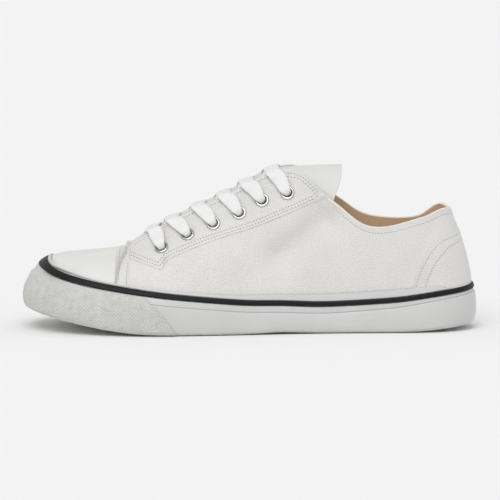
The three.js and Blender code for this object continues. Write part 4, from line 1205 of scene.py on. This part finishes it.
def crossing(number):
    lengths = []
    for side, other in (sideNames, sideNames[::-1]):
        rows = exitRows(other, number)
        end = entry(side, number, lace["edgeForward"])
        outX, endX, spanY = rows[1][0][0], end[0][0][0], abs(end[0][0][1])
        sign, rise = (-1, lace["over"]) if side == "lateral" else (1, lace["under"])
        for part, height in ((-0.55, (rise + 0.8) / 2), (0.0, rise), (0.5, max(rise * 0.8, 1.5))):
            x = (outX + endX) / 2 + (endX - outX) / 2 * part
            place = overTongue(x, sign * part * spanY, height)
            rows.append((place, unit(np.array([-0.35, 0, 1.0])), lace["width"], lace["thickness"]))
        rows += end + hiddenRun(side, number)
        lengths.append(laceLength(f"strand_{number}_{side}", rows))
    finishLace(joined(f"lace_length_{number}", lengths), f"lace_cross_{number}")


def bar():
    left, right = [entry(side, 1, lace["barBow"] * 0.62) + hiddenRun(side, 1) for side in sideNames]
    x = (left[0][0][0] + right[0][0][0]) / 2 - lace["barBow"] * 0.38 * mm
    middle = (overTongue(x, 0, 1.4), unit(np.array([-0.4, 0, 1.0])), lace["width"], lace["thickness"])
    finishLace(laceLength("lace_length_1", left[::-1] + [middle] + right), "lace_bar_1")


def finishLace(obj, node):
    inEditMode(obj, facesOut)
    smoothShading(obj, 60)
    finishPiece(obj, laceCloth, "lace_cotton", node)


bar()
for number in range(2, 7):
    crossing(number)
print("laces")


# Stitches, and near-black discs of painted shade in their needle holes, joined into one mesh for each row group

stitch = {"pitch": 1.95, "length": 1.35, "width": 0.5, "height": 0.4, "hole": 0.66}


def stitchSpots(rows):
    spots, holes = [], []
    for row in rows:
        points, normals = row["points"], row["normals"]
        count = 2 * int(pathLength(points) / (stitch["pitch"] * mm))
        both = evenPath(np.concatenate([points, normals * 1e-9], axis=1), count + 1)
        points, normals = both[:, :3], unit(both[:, 3:])
        places = list(zip(points, unit(np.gradient(points, axis=0)), normals))
        spots += places[1:count:2]
        holes += places[2:count:2]
    return spots, holes


def scatter(name, primitive, spots, scale, sink):
    # one primitive repeated by an array modifier, each copy then set in its place
    primitive()
    obj = bpy.context.object
    obj.name = obj.data.name = name
    shape = pointsOf(obj) * np.array(scale) * mm
    addModifier(obj, "ARRAY", count=len(spots), use_relative_offset=False, use_constant_offset=True,
                constant_offset_displace=(1.0, 0.0, 0.0))
    placed = []
    for point, ahead, normal in spots:
        across = unit(np.cross(normal, ahead))
        ahead = np.cross(across, normal)
        turn = np.stack([ahead, across, normal])
        placed.append(shape @ turn + point + normal * sink * mm)
    movePoints(obj, np.concatenate(placed))
    smoothShading(obj, 60)
    return obj


def ball():
    bpy.ops.mesh.primitive_uv_sphere_add(segments=8, ring_count=6, radius=0.5)


def disc():
    bpy.ops.mesh.primitive_cylinder_add(vertices=8, radius=0.5, depth=0.3)


def makeStitches():
    size = (stitch["length"], stitch["width"], stitch["height"])
    shadeDiscSize = (stitch["hole"], stitch["hole"] * 0.8, 0.4)
    for name, rows in seams.items():
        node = {"strip": "toe_cap", "counter": "heel_counter", "canvas": "upper"}.get(name, name)
        spots, holes = stitchSpots(rows)
        threads = scatter("stitches_" + name, ball, spots, size, 0.08 - groove["depth"])
        finishPiece(threads, thread, "canvas", node)
        # painted shade: a dark disc in each needle hole between the stitches
        shadeDiscs = scatter("pinhole_shades_" + name, disc, holes, shadeDiscSize, 0.03 - groove["depth"])
        finishPiece(shadeDiscs, pinholeShade, "canvas", node)


def tongueRow():
    # a row of stitches along the free end of the tongue
    tree = treeOf(tongueShape.data)
    points, normals = [], []
    down = Vector((0, 0, -1))
    for y in np.linspace(-26, 26, 160) * mm:
        low, high = 0.03, 0.075  # the free end lies between these lengths
        for _ in range(18):
            middle = (low + high) / 2
            if tree.ray_cast(Vector((middle, y, 0.2)), down)[0]:
                low = middle
            else:
                high = middle
        hit, normal = tree.ray_cast(Vector((low - 3.0 * mm, y, 0.2)), down)[:2]
        if hit:
            points.append(hit[:])
            normals.append(normal[:])
    points = np.array(points)
    for _ in range(6):
        points[1:-1] = (points[:-2] + 2 * points[1:-1] + points[2:]) / 4
    return {"points": points, "normals": np.array(normals)}


seams["tongue"] = [tongueRow()]
makeStitches()
print("stitches")
